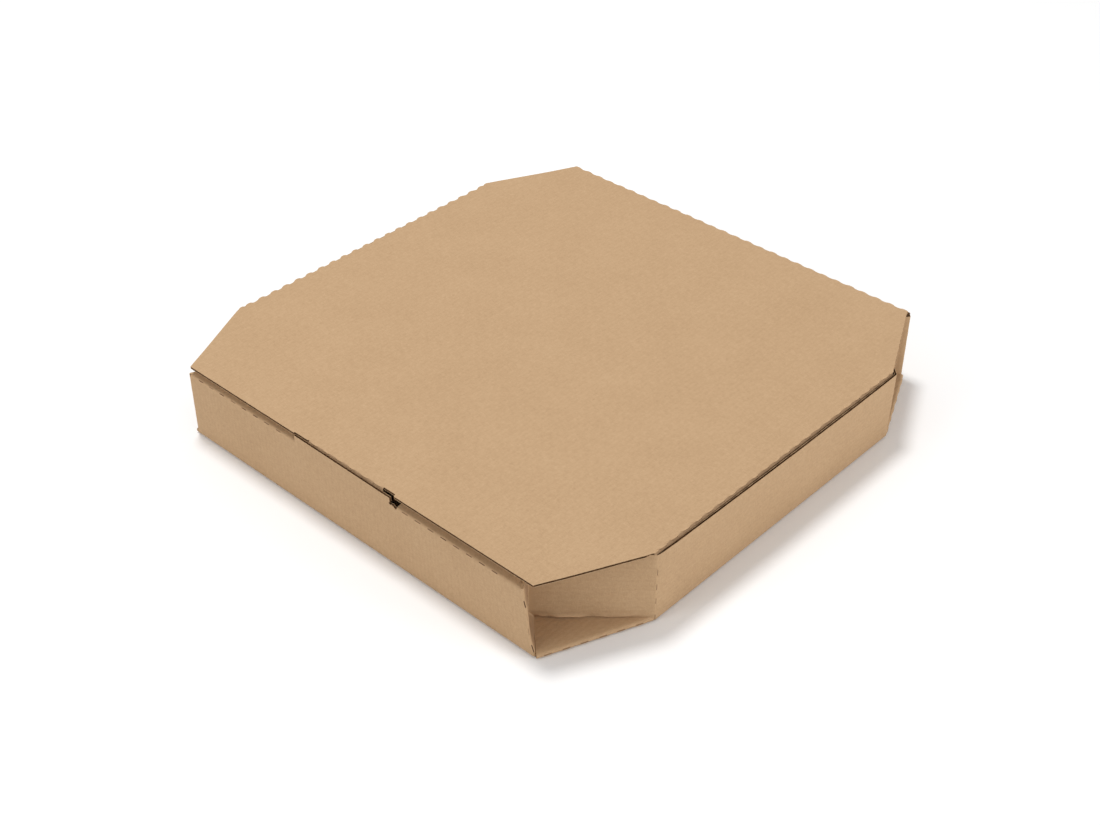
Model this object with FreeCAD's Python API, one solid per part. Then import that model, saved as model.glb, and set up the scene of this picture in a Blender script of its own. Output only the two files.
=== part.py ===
import FreeCAD, Part
import os, math

os.makedirs("parts", exist_ok=True)

# ---------------------------------------------------------------- driving dimensions (mm)
T = 1.7              # thickness of the fluted board
H = 53.0             # floor underside to lid top
FLUTE = 3.28         # flute pitch; the flutes run front to back

# tray, outer faces, seen from above; the front is -Y, the hinge side is +Y
SIDE_X = 180.0       # outer face of a side wall at the floor
TOP_FRONT_X = 181.2  # the same at its top, front end
TOP_REAR_X = 182.2   # the same at its top, rear end
SIDE_BOW = 1.0       # extra outward bow of a side wall's top at mid length
FRONT_Y = -182.05    # outer face of the front wall
REAR_Y = 182.05      # outer face of the rear wall
CX = 28.0            # front and rear walls stop this far short of the square corner
WEB_X = 31.0         # width of the turned-in end of the front and rear walls
FRONT_FOLD_Y = -114.5  # vertical fold where a side wall turns in, front corners
REAR_FOLD_Y = 119.0    # the same at the rear corners
R_FOLD = 1.9         # outer radius of a fold
LEAN_X = 10.5        # the front right fold has been pushed in at its top by this much
LEAN_Y = 1.0

SIDE_TOP_Z = 50.2    # raw top edge of side walls and corner webs
REAR_TOP_Z = 51.0    # crease under the lid's rear edge
FOLD_Z = 47.2        # outer fold of the rolled front wall, left of the slot
FOLD_Z_MID = 46.0    # the same just right of the slot
FOLD_Z_RIGHT = 44.4  # the same at the pushed-in right end
LEDGE_DEPTH = 11.0   # outer face to inner face of the rolled front wall
LEDGE_RISE = 3.0     # the ledge climbs towards the inside
SLOT_X0, SLOT_X1 = -47.2, 42.5   # slot in the ledge for the lid's tuck tab
SLOT_DEPTH = 7.0     # front to back
TONGUE_X1 = 36.9     # the outer panel's raw edge stands up from SLOT_X0 to here
TONGUE_Z0, TONGUE_Z1 = 51.6, 50.2  # its height at the left and right end
NOTCH_Z = 45.6       # bottom of the hooked notch at the slot's right end

# lid
LID_X = 179.4        # outer face of the side folds
LID_Y0 = -181.05     # raw front edge
LID_CX = 31.3        # front corner cut, along the front edge
LID_CY = 64.0        # front corner cut, along the side edges
LID_RCX = 31.8       # rear corner cut, along the hinge
LID_RCY = 65.9       # rear corner cut, along the side edges
FLAP_Z = 22.5        # lower edge of the side flaps
FLAP_Y0, FLAP_Y1 = -103.0, 111.0
FLAP_TILT = 4.0      # degrees, inward
TAB_X0, TAB_X1 = -44.4, 32.3
TAB_Y = -179.65      # outer face of the tuck tab at its fold
TAB_LENGTH = 25.0
TAB_TILT = 3.0
TAB_CORNER = 8.0
RECESS_X0, RECESS_X1 = -48.2, 37.6   # front edge cut back to the tab's fold

# cut-crease folds
PITCH = 10.78        # slit pitch
SLIT = 4.7           # slit length
SLIT_W = 0.4         # slit width


def vec(x, y, z=0.0):
    return FreeCAD.Vector(x, y, z)


# ---------------------------------------------------------------- plan outlines
def mirror_corner(p1, p2, k):
    """The square corner k folded flat over the line p1-p2."""
    dx, dy = p1[0] - p2[0], p1[1] - p2[1]
    n = math.hypot(dx, dy)
    dx, dy = dx / n, dy / n
    kx, ky = k[0] - p2[0], k[1] - p2[1]
    along = kx * dx + ky * dy
    return (p2[0] + 2 * along * dx - kx, p2[1] + 2 * along * dy - ky)


def corner_reach(a, b, ra, rb, side):
    """Point at distance ra from a and rb from b, on the given side of a-b."""
    dx, dy = b[0] - a[0], b[1] - a[1]
    n = math.hypot(dx, dy)
    dx, dy = dx / n, dy / n
    s = (ra * ra - rb * rb + n * n) / (2 * n)
    h = math.sqrt(max(ra * ra - s * s, 0.0))
    return (a[0] + s * dx - side * h * dy, a[1] + s * dy + side * h * dx)


def outline(sxf, sxr, lean_x, lean_y):
    """Twelve outer corners of the tray wall, counter-clockwise from the front left."""
    px = SIDE_X - CX
    fl = (-px, FRONT_Y)
    fr = (px - lean_x, FRONT_Y + lean_y)
    rr = (px, REAR_Y)
    rl = (-px, REAR_Y)
    fr1 = (sxf, FRONT_FOLD_Y)
    rr1 = (sxr, REAR_FOLD_Y)
    rl1 = (-sxr, REAR_FOLD_Y)
    fl1 = (-sxf, FRONT_FOLD_Y)
    wf, df = WEB_X, FRONT_FOLD_Y - FRONT_Y
    wr, dr = WEB_X, REAR_Y - REAR_FOLD_Y
    m_fr = corner_reach(fr, fr1, wf, df, 1)
    m_rr = corner_reach(rr, rr1, wr, dr, -1)
    m_rl = corner_reach(rl, rl1, wr, dr, 1)
    m_fl = corner_reach(fl, fl1, wf, df, -1)
    return [fl, fr, m_fr, fr1, rr1, m_rr, rr, rl, m_rl, rl1, fl1, m_fl]


def shifted(pts, d):
    """The outline moved inward by d, with mitred corners."""
    n = len(pts)
    lines = []
    for i in range(n):
        (x0, y0), (x1, y1) = pts[i], pts[(i + 1) % n]
        L = math.hypot(x1 - x0, y1 - y0)
        ux, uy = (x1 - x0) / L, (y1 - y0) / L
        lines.append((x0 - uy * d, y0 + ux * d, ux, uy))
    out = []
    for i in range(n):
        ax, ay, aux, auy = lines[i - 1]
        bx, by, bux, buy = lines[i]
        det = aux * -buy + bux * auy
        t = ((bx - ax) * -buy + bux * (by - ay)) / det
        out.append((ax + aux * t, ay + auy * t))
    return out


def rounded_wire(pts, z, radii, bows):
    """Closed wire with a radius at each corner; an edge may be a shallow arc."""
    n = len(pts)
    cut = []
    for i in range(n):
        p = pts[i]
        a, b = pts[i - 1], pts[(i + 1) % n]
        ua = ((a[0] - p[0]), (a[1] - p[1]))
        ub = ((b[0] - p[0]), (b[1] - p[1]))
        la, lb = math.hypot(*ua), math.hypot(*ub)
        ua = (ua[0] / la, ua[1] / la)
        ub = (ub[0] / lb, ub[1] / lb)
        half = 0.5 * math.acos(max(-1, min(1, ua[0] * ub[0] + ua[1] * ub[1])))
        r = radii[i]
        tl = r / math.tan(half)
        bis = (ua[0] + ub[0], ua[1] + ub[1])
        lbis = math.hypot(*bis)
        bis = (bis[0] / lbis, bis[1] / lbis)
        near = r / math.sin(half) - r
        cut.append(((p[0] + ua[0] * tl, p[1] + ua[1] * tl),
                    (p[0] + bis[0] * near, p[1] + bis[1] * near),
                    (p[0] + ub[0] * tl, p[1] + ub[1] * tl)))
    edges = []
    for i in range(n):
        s, m, e = cut[i]
        edges.append(Part.Arc(vec(s[0], s[1], z), vec(m[0], m[1], z), vec(e[0], e[1], z)).toShape())
        nx = cut[(i + 1) % n][0]
        if bows and i in bows:
            mid = ((e[0] + nx[0]) / 2 + bows[i][0], (e[1] + nx[1]) / 2 + bows[i][1])
            edges.append(Part.Arc(vec(e[0], e[1], z), vec(mid[0], mid[1], z), vec(nx[0], nx[1], z)).toShape())
        else:
            edges.append(Part.LineSegment(vec(e[0], e[1], z), vec(nx[0], nx[1], z)).toShape())
    return Part.Wire(edges)


# outer corners: convex folds get the outer radius outside, the two inward creases inside
CONVEX = [True, True, False, True, True, False, True, True, False, True, True, False]
OUT_R = [R_FOLD if c else R_FOLD - T for c in CONVEX]
IN_R = [R_FOLD - T if c else R_FOLD for c in CONVEX]
BEV_R = [R_FOLD - 0.8 if c else R_FOLD - T + 0.8 for c in CONVEX]

Z_TOP = 51.6
EDGE_BEVEL = 0.9
low = outline(SIDE_X, SIDE_X, 0.0, 0.0)
high = outline(TOP_FRONT_X, TOP_REAR_X, LEAN_X, LEAN_Y)
bow = {3: (SIDE_BOW, 0), 9: (-SIDE_BOW, 0)}
flat_bow = {3: (0.001, 0), 9: (-0.001, 0)}

# ---------------------------------------------------------------- tray
foot = Part.makeLoft([rounded_wire(shifted(low, 0.8), 0.0, BEV_R, None),
                      rounded_wire(low, EDGE_BEVEL, OUT_R, None)], True, True)
body = Part.makeLoft([rounded_wire(low, EDGE_BEVEL, OUT_R, flat_bow),
                      rounded_wire(high, Z_TOP, OUT_R, bow)], True, True)
inside = Part.makeLoft([rounded_wire(shifted(low, T), T, IN_R, flat_bow),
                        rounded_wire(shifted(high, T), Z_TOP + 0.001, IN_R, bow)], True, True)
tray = foot.fuse(body).cut(inside)


def prism(pts, z0, z1):
    w = Part.makePolygon([vec(x, y, z0) for x, y in pts] + [vec(pts[0][0], pts[0][1], z0)])
    return Part.Face(w).extrude(vec(0, 0, z1 - z0))


def block(x0, x1, y0, y1, z0, z1):
    return Part.makeBox(x1 - x0, y1 - y0, z1 - z0, vec(x0, y0, z0))


# each corner of the floor is folded over and lies on the floor, two boards thick
def corner_triangle(p2, m, p1):
    ux, uy = p1[0] - p2[0], p1[1] - p2[1]
    L = math.hypot(ux, uy)
    ux, uy = ux / L, uy / L
    nx, ny = -uy, ux
    if (m[0] - p2[0]) * nx + (m[1] - p2[1]) * ny < 0:
        nx, ny = -nx, -ny
    # start a little inside the two folds, reach a little under the inner crease
    a = (p2[0] + ux * 1.2 + nx * 0.0, p2[1] + uy * 1.2)
    b = (p1[0] - ux * 0.6, p1[1] - uy * 0.6)
    mm = (m[0] + nx * 0.8, m[1] + ny * 0.8)

    def tri(shift, z):
        q = [(a[0] + nx * shift, a[1] + ny * shift), (b[0] + nx * shift, b[1] + ny * shift), mm]
        return Part.makePolygon([vec(x, y, z) for x, y in q] + [vec(q[0][0], q[0][1], z)])

    s = Part.makeLoft([tri(0.9, 0.0), tri(0.0, 0.9)], True, True)
    s = s.fuse(Part.makeLoft([tri(0.0, 0.9), tri(0.0, 2 * T - 0.9)], True, True))
    return s.fuse(Part.makeLoft([tri(0.0, 2 * T - 0.9), tri(0.9, 2 * T)], True, True))


for i2, im, i1 in ((1, 2, 3), (6, 5, 4), (7, 8, 9), (0, 11, 10)):
    tray = tray.fuse(corner_triangle(low[i2], low[im], low[i1]))

# heights of the walls: rolled front wall and its webs, side walls and webs, rear wall
above = [(-200, FOLD_Z), (SLOT_X0, FOLD_Z), (SLOT_X1, FOLD_Z_MID), (200, FOLD_Z_MID + (FOLD_Z_RIGHT - FOLD_Z_MID) * 1.6),
         (200, 60), (-200, 60)]
w = Part.makePolygon([vec(x, -200, z) for x, z in above] + [vec(above[0][0], -200, above[0][1])])
tray = tray.cut(Part.Face(w).extrude(vec(0, 43.0, 0)))
tray = tray.cut(block(-200, 200, -157.0, REAR_Y - T - 1.2, SIDE_TOP_Z, 60))
tray = tray.cut(block(-200, 200, REAR_Y - T - 1.2, 200, REAR_TOP_Z, 60))

# rolled front wall: ledge and inner panel, a section carried along X; its right half sinks a little
yo = FRONT_Y
yi = FRONT_Y + LEDGE_DEPTH


def roll_section(x, fz):
    zi = fz + LEDGE_RISE
    sec = [(yo, fz - 3.0), (yo, fz - 0.9), (yo + 0.9, fz + 0.15),
           (yi - 1.2, zi - 0.1), (yi, zi - 1.3), (yi, T - 0.2), (yi - T, T - 0.2),
           (yi - T, zi - T - 0.6), (yo + T, fz - T + 0.5), (yo + T, fz - 3.0)]
    return Part.makePolygon([vec(x, y, z) for y, z in sec] + [vec(x, sec[0][0], sec[0][1])])


stations = [(-160.0, FOLD_Z), (SLOT_X0, FOLD_Z), (SLOT_X1, FOLD_Z_MID), (160.0, FOLD_Z_MID + (FOLD_Z_RIGHT - FOLD_Z_MID) * 1.2)]
roll = None
for (xa, za), (xb, zb_) in zip(stations, stations[1:]):
    piece = Part.makeLoft([roll_section(xa, za), roll_section(xb, zb_)], True, True)
    roll = piece if roll is None else roll.fuse(piece)
# its ends follow the webs: the outer fold is longer than the inner panel
xr_out, xl_out = low[1][0] - LEAN_X * 0.9 - 2.4, low[0][0] + 2.4
xr_in, xl_in = 130.0, -137.0
ends = [(xl_out, yo - 1), (xr_out, yo - 1), (xr_out, yo + 1.0), (xr_in, yi - T - 0.5), (xr_in, yi + 1),
        (xl_in, yi + 1), (xl_in, yi - T - 0.5), (xl_out, yo + 1.0)]
roll = roll.common(prism(ends, 0, 60))
tray = tray.fuse(roll)

# slot in the ledge, raised raw edge of the outer panel, hooked notch at the slot's right end
tray = tray.cut(block(SLOT_X0, SLOT_X1, yo + T, yo + T + SLOT_DEPTH - 1.0, FOLD_Z - 6.0, 60))
tray = tray.cut(block(SLOT_X0, TONGUE_X1, yo - 1, yo + T + 0.01, FOLD_Z - 3.0, 60))
tongue = Part.Face(Part.makePolygon([
    vec(SLOT_X0, yo, FOLD_Z - 3.0), vec(TONGUE_X1, yo, FOLD_Z - 3.0), vec(TONGUE_X1, yo, TONGUE_Z1),
    vec(SLOT_X0, yo, TONGUE_Z0), vec(SLOT_X0, yo, FOLD_Z - 3.0)])).extrude(vec(0, T, 0))
tray = tray.fuse(tongue)
notch = Part.Face(Part.makePolygon([
    vec(TONGUE_X1, yo - 1, 60), vec(TONGUE_X1, yo - 1, NOTCH_Z + 1.5), vec(TONGUE_X1 - 1.2, yo - 1, NOTCH_Z + 0.6),
    vec(TONGUE_X1 + 0.4, yo - 1, NOTCH_Z), vec(SLOT_X1, yo - 1, NOTCH_Z + 2.2), vec(SLOT_X1, yo - 1, 60),
    vec(TONGUE_X1, yo - 1, 60)])).extrude(vec(0, T + 1.2, 0))
tray = tray.cut(notch)


# ---------------------------------------------------------------- slits of the cut-crease folds
def slit(p, u, n, length=SLIT, width=SLIT_W, depth=2 * T):
    """A slit centred at p, along unit u, cut in along -n (n points out of the fold)."""
    u = FreeCAD.Vector(*u).normalize()
    n = FreeCAD.Vector(*n).normalize()
    w = u.cross(n).normalize()
    o = FreeCAD.Vector(*p)
    c = [o + u * (a * length / 2) + w * (b * width / 2) + n * 1.0 for a, b in ((-1, -1), (1, -1), (1, 1), (-1, 1))]
    f = Part.Face(Part.makePolygon(c + [c[0]]))
    return f.extrude(n * -(depth + 1.0))


def along(a, b, n, first=None, pitch=PITCH, **kw):
    """Slits spaced at the pitch between two ends, centred unless a first offset is given."""
    ax = FreeCAD.Vector(*a)
    bx = FreeCAD.Vector(*b)
    L = (bx - ax).Length
    u = (bx - ax).normalize()
    count = int((L - SLIT) / pitch) + 1
    start = first if first is not None else (L - (count - 1) * pitch) / 2
    out = []
    for i in range(count):
        q = ax + u * (start + i * pitch)
        out.append(slit((q.x, q.y, q.z), (u.x, u.y, u.z), n, **kw))
    return out


def lerp(a, b, k):
    return (a[0] + (b[0] - a[0]) * k, a[1] + (b[1] - a[1]) * k)


cuts = []
# outer fold of the front wall: two runs of eight
cuts += along((-142.7, yo, FOLD_Z - 0.2), (-57.7, yo, FOLD_Z - 0.2), (0, -1, 0.35), depth=1.6)
cuts += along((49.4, yo, FOLD_Z_MID - 0.35), (134.5, yo, FOLD_Z_RIGHT - 0.1), (0, -1, 0.35), depth=1.6)
# vertical folds at the four corners, on the side walls and on the front and rear walls
for i, bisx, bisy in ((3, 1, -0.45), (4, 1, 0.45), (9, -1, 0.45), (10, -1, -0.45)):
    a, b = low[i], high[i]
    out_dir = FreeCAD.Vector(bisx, bisy, 0).normalize()
    pull = -out_dir * 0.16
    cuts += along((a[0] + pull.x, a[1] + pull.y, 1.2), (lerp(a, b, 0.97)[0] + pull.x, lerp(a, b, 0.97)[1] + pull.y, SIDE_TOP_Z),
                  (bisx, bisy, 0), depth=1.6)
# chamfer folds under the corners, where the floor turns back on itself
for i2, i1 in ((1, 3), (6, 4), (7, 9), (0, 10)):
    p2, p1 = low[i2], low[i1]
    ux, uy = p1[0] - p2[0], p1[1] - p2[1]
    out_dir = (uy, -ux, 0) if i2 in (1, 7) else (-uy, ux, 0)
    cuts += along((p2[0] + ux * 0.05, p2[1] + uy * 0.05, T), (p1[0] - ux * 0.02, p1[1] - uy * 0.02, T), out_dir, depth=1.2, width=0.6)
tray = tray.cut(Part.makeCompound(cuts))
tray = tray.removeSplitter()

# ---------------------------------------------------------------- lid
zt, zb = H, H - T
xe = LID_X
yr = REAR_Y
fx = 180.0 - LID_CX
hx = 180.0 - LID_RCX
plan = [(-fx, LID_Y0), (RECESS_X0, LID_Y0), (RECESS_X0, TAB_Y), (RECESS_X1, TAB_Y), (RECESS_X1, LID_Y0), (fx, LID_Y0),
        (xe, LID_Y0 + LID_CY), (xe, yr - LID_RCY), (hx, yr), (-hx, yr), (-xe, yr - LID_RCY), (-xe, LID_Y0 + LID_CY)]
lid = prism(plan, zb, zt)


def fold_section(r, t, tilt, length):
    """Section of a fold and its flap: panel coming in along -u, flap going down; origin at the outer square corner."""
    a = math.radians(90 + tilt)
    cxx, czz = -r, -r
    ri = r - t
    o0 = (cxx, czz + r)
    om = (cxx + r * math.sin(a / 2), czz + r * math.cos(a / 2))
    o1 = (cxx + r * math.sin(a), czz + r * math.cos(a))
    down = (math.cos(a), -math.sin(a))
    tip_o = (o1[0] + down[0] * length, o1[1] + down[1] * length)
    i1 = (cxx + ri * math.sin(a), czz + ri * math.cos(a))
    im = (cxx + ri * math.sin(a / 2), czz + ri * math.cos(a / 2))
    i0 = (cxx, czz + ri)
    tip_i = (i1[0] + down[0] * length, i1[1] + down[1] * length)
    return o0, om, o1, tip_o, tip_i, i1, im, i0


def fold_face(place, r, tilt, length, back=2.0):
    o0, om, o1, to, ti, i1, im, i0 = fold_section(r, T, tilt, length)
    P = place
    e = [Part.LineSegment(P(o0[0] - back, o0[1]), P(*o0)).toShape(),
         Part.Arc(P(*o0), P(*om), P(*o1)).toShape(),
         Part.LineSegment(P(*o1), P(*to)).toShape(),
         Part.LineSegment(P(*to), P(*ti)).toShape(),
         Part.LineSegment(P(*ti), P(*i1)).toShape(),
         Part.Arc(P(*i1), P(*im), P(*i0)).toShape(),
         Part.LineSegment(P(*i0), P(i0[0] - back, i0[1])).toShape(),
         Part.LineSegment(P(i0[0] - back, i0[1]), P(o0[0] - back, o0[1])).toShape()]
    return Part.Face(Part.Wire(e))


# side folds and flaps
length = (zt - R_FOLD - FLAP_Z) / math.cos(math.radians(FLAP_TILT))
for s in (1, -1):
    place = (lambda u, w: vec(xe + u, 0, zt + w)) if s > 0 else (lambda u, w: vec(-xe - u, 0, zt + w))
    face = fold_face(place, R_FOLD, FLAP_TILT, length)
    flap = face.extrude(vec(0, FLAP_Y1 - FLAP_Y0, 0))
    flap.translate(vec(0, FLAP_Y0, 0))
    # mitred ends
    for y0, sg in ((FLAP_Y0, 1), (FLAP_Y1, -1)):
        w = Part.makePolygon([vec(s * 150, y0 - sg * 5, zt - 3.0), vec(s * 150, y0, zt - 3.0),
                              vec(s * 150, y0 + sg * 8.0, FLAP_Z - 2), vec(s * 150, y0 - sg * 5, FLAP_Z - 2),
                              vec(s * 150, y0 - sg * 5, zt - 3.0)])
        flap = flap.cut(Part.Face(w).extrude(vec(s * 40, 0, 0)))
    cutter = block(xe - R_FOLD, xe + 2, LID_Y0 + LID_CY - 0.5, yr - LID_RCY + 0.5, zb - 0.5, zt + 1)
    if s < 0:
        cutter = block(-xe - 2, -xe + R_FOLD, LID_Y0 + LID_CY - 0.5, yr - LID_RCY + 0.5, zb - 0.5, zt + 1)
    lid = lid.cut(cutter)
    stub = fold_face(place, R_FOLD, 0.0, 0.4).extrude(vec(0, yr - LID_RCY - LID_Y0 - LID_CY, 0))
    stub.translate(vec(0, LID_Y0 + LID_CY, 0))
    lid = lid.fuse(stub).fuse(flap)

# rear edge: the hinge fold is rounded on top
rear = block(-hx + 1, hx - 1, yr - 1.0, yr + 1, zt - 1.0, zt + 1)
rnd = Part.makeCylinder(1.0, 2 * hx - 2, vec(-hx + 1, yr - 1.0, zt - 1.0), vec(1, 0, 0))
lid = lid.cut(rear.cut(rnd))

# tuck tab, with rounded lower corners
tl = TAB_LENGTH - R_FOLD
tab = fold_face(lambda u, w: vec(TAB_X0, TAB_Y - u, zt + w), R_FOLD, TAB_TILT, tl).extrude(vec(TAB_X1 - TAB_X0, 0, 0))
zt_tab = zt - R_FOLD - tl * math.cos(math.radians(TAB_TILT))
for x0, sg in ((TAB_X0, 1), (TAB_X1, -1)):
    c = TAB_CORNER
    sq = Part.makeBox(c, 12, c, vec(min(x0, x0 + sg * c), TAB_Y - 3, zt_tab - 0.2))
    cyl = Part.makeCylinder(c, 12, vec(x0 + sg * c, TAB_Y - 3, zt_tab - 0.2 + c), vec(0, 1, 0))
    tab = tab.cut(sq.cut(cyl))
lid = lid.cut(block(TAB_X0, TAB_X1, TAB_Y - 0.5, TAB_Y + R_FOLD, zb - 0.5, zt + 1)).fuse(tab)

# slits of the lid's folds
cuts = []
for s in (1, -1):
    cuts += along((s * (xe - 0.55), LID_Y0 + LID_CY + 1, zt - 0.55), (s * (xe - 0.55), yr - LID_RCY - 1, zt - 0.55), (s, 0, 1), depth=1.5)
cuts += along((-hx + 3, yr - 0.3, zt - 0.3), (hx - 3, yr - 0.3, zt - 0.3), (0, 1, 1), depth=1.4)
lid = lid.cut(Part.makeCompound(cuts))
lid = lid.removeSplitter()


# ---------------------------------------------------------------- write
def report(name, s):
    bb = s.BoundBox
    print(name, "valid", s.isValid(), "solids", len(s.Solids), "faces", len(s.Faces), "vol", round(s.Volume, 1),
          "box", [round(v, 2) for v in (bb.XMin, bb.YMin, bb.ZMin, bb.XMax, bb.YMax, bb.ZMax)])


for name, s in (("tray", tray), ("lid", lid)):
    if len(s.Solids) == 1:
        s = s.Solids[0]
    report(name, s)
    s.exportStep("parts/" + name + ".step")
common = tray.common(lid)
print("overlap at rest", round(common.Volume, 4))
print("corner crease", [tuple(round(v, 1) for v in low[2]), tuple(round(v, 1) for v in high[2])])
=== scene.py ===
import bpy, bmesh, math
import numpy as np
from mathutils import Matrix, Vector
from mathutils.geometry import delaunay_2d_cdt


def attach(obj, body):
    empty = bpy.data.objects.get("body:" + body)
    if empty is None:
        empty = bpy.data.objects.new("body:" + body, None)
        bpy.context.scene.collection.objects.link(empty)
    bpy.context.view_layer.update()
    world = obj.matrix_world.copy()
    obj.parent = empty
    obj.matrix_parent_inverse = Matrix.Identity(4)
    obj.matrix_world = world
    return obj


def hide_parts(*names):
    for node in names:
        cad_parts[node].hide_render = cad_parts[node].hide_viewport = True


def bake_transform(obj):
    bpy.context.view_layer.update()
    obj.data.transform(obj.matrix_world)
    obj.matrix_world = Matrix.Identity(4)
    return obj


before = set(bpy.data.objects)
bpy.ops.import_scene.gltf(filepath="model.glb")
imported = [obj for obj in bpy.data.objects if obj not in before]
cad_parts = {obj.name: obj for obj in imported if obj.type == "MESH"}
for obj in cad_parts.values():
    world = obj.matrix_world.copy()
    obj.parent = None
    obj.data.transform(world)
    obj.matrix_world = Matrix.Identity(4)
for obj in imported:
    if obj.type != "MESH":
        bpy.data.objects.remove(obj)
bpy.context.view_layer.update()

rng = np.random.default_rng(11)

# ------------------------------------------------------------------ sizes, in mm
T = 1.7
H = 53.0
FLUTE = 3.28
LINER = 0.24
SIDE_X, TOP_FRONT_X, TOP_REAR_X = 180.0, 180.5, 181.2
FRONT_Y, REAR_Y = -182.05, 182.05
CX, WEB_X = 28.0, 31.0
FRONT_FOLD_Y, REAR_FOLD_Y = -114.5, 119.0
R = 1.9
LEAN_X, LEAN_Y = 10.5, 1.0
Z_TOP = 51.6
SIDE_TOP_Z = 50.2
FOLD_Z, FOLD_Z_MID, FOLD_Z_RIGHT = 47.0, 45.9, 44.7
LEDGE_DEPTH, LEDGE_RISE = 11.0, 3.0
SLOT_X0, SLOT_X1, TONGUE_X1 = -47.2, 42.5, 36.9
TONGUE_Z0, TONGUE_Z1, NOTCH_Z = 51.4, 50.1, 45.6
LID_X, LID_Y0 = 179.4, -181.05
LID_CX, LID_CY, LID_RCX, LID_RCY = 31.3, 64.0, 31.8, 65.9
FLAP_Z, FLAP_Y0, FLAP_Y1, FLAP_TILT = 22.5, -103.0, 111.0, 4.0
TAB_X0, TAB_X1, TAB_Y, TAB_LENGTH, TAB_TILT, TAB_CORNER = -35.6, 29.6, -180.15, 25.0, 3.0, 8.0
TAB_R = 0.95
REC_X0, REC_X1, REC_Y = -48.2, 39.0, -180.2
PITCH, SLIT = 10.78, 4.7


# ------------------------------------------------------------------ smooth seeded noise
def _lattice(seed, n=64):
    return np.random.default_rng(seed).uniform(-1, 1, (n, n))


_LAT = [_lattice(100 + k) for k in range(8)]


def noise2(x, y, scale, k=0):
    """Smooth noise in -1..1; scale is the size of a blob in mm."""
    x = np.asarray(x, float) / scale + 17.3 * (k + 1)
    y = np.asarray(y, float) / scale + 5.7 * (k + 1)
    L = _LAT[k % 8]
    n = L.shape[0]
    xi, yi = np.floor(x).astype(int), np.floor(y).astype(int)
    fx, fy = x - xi, y - yi
    fx = fx * fx * (3 - 2 * fx)
    fy = fy * fy * (3 - 2 * fy)
    a, b = L[xi % n, yi % n], L[(xi + 1) % n, yi % n]
    c, d = L[xi % n, (yi + 1) % n], L[(xi + 1) % n, (yi + 1) % n]
    return (a * (1 - fx) + b * fx) * (1 - fy) + (c * (1 - fx) + d * fx) * fy


def sstep(x, a, b):
    t = np.clip((np.asarray(x, float) - a) / (b - a), 0, 1)
    return t * t * (3 - 2 * t)


# ------------------------------------------------------------------ mesh collector
OUTER, INNER, RIM, CORE = 0, 1, 2, 3


class Build:
    def __init__(self):
        self.v, self.uv, self.mk = [], [], []
        self.f, self.m = [], []
        self.n = 0

    def add(self, P, F, uv, mk, mat):
        P = np.asarray(P, float).reshape(-1, 3)
        self.v.append(P)
        self.uv.append(np.asarray(uv, float).reshape(-1, 2))
        self.mk.append(np.asarray(mk, float).reshape(-1, 2))
        for f in F:
            self.f.append([i + self.n for i in f])
            self.m.append(mat)
        self.n += len(P)

    def grid(self, P, uv, mat, mk=None):
        P = np.asarray(P, float)
        a, b = P.shape[:2]
        if mk is None:
            mk = np.zeros((a, b, 2))
        F = []
        for i in range(a - 1):
            for j in range(b - 1):
                F.append((i * b + j, (i + 1) * b + j, (i + 1) * b + j + 1, i * b + j + 1))
        self.add(P, F, uv, mk, mat)

    def object(self, name, mats):
        V = np.concatenate(self.v)
        UV = np.concatenate(self.uv)
        MK = np.concatenate(self.mk)
        me = bpy.data.meshes.new(name)
        me.from_pydata([tuple(q) for q in V * 0.001], [], self.f)
        u1 = me.uv_layers.new(name="blank")
        u2 = me.uv_layers.new(name="marks")
        flat = np.array([i for f in self.f for i in f])
        u1.data.foreach_set("uv", (UV[flat] * 0.01).astype(np.float32).ravel())
        u2.data.foreach_set("uv", MK[flat].astype(np.float32).ravel())
        me.polygons.foreach_set("material_index", self.m)
        for m in mats:
            me.materials.append(m)
        bm = bmesh.new()
        bm.from_mesh(me)
        bmesh.ops.remove_doubles(bm, verts=bm.verts, dist=4e-6)
        # faces that two neighbouring strips share are inside the card: both go
        pairs = {}
        for f in bm.faces:
            pairs.setdefault(frozenset(v.index for v in f.verts), []).append(f)
        gone = [f for fs in pairs.values() if len(fs) > 1 for f in (fs if len(fs) % 2 == 0 else fs[1:])]
        if gone:
            bmesh.ops.delete(bm, geom=gone, context="FACES")
        loose = [v for v in bm.verts if not v.link_faces]
        if loose:
            bmesh.ops.delete(bm, geom=loose, context="VERTS")
        bmesh.ops.recalc_face_normals(bm, faces=bm.faces)
        bm.normal_update()
        for e in bm.edges:
            fs = e.link_faces
            if len(fs) != 2 or fs[0].material_index != fs[1].material_index or fs[0].normal.dot(fs[1].normal) < 0.72:
                e.smooth = False
        for f in bm.faces:
            f.smooth = True
        bm.to_mesh(me)
        bm.free()
        ob = bpy.data.objects.new(name, me)
        bpy.context.scene.collection.objects.link(ob)
        return ob


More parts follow.
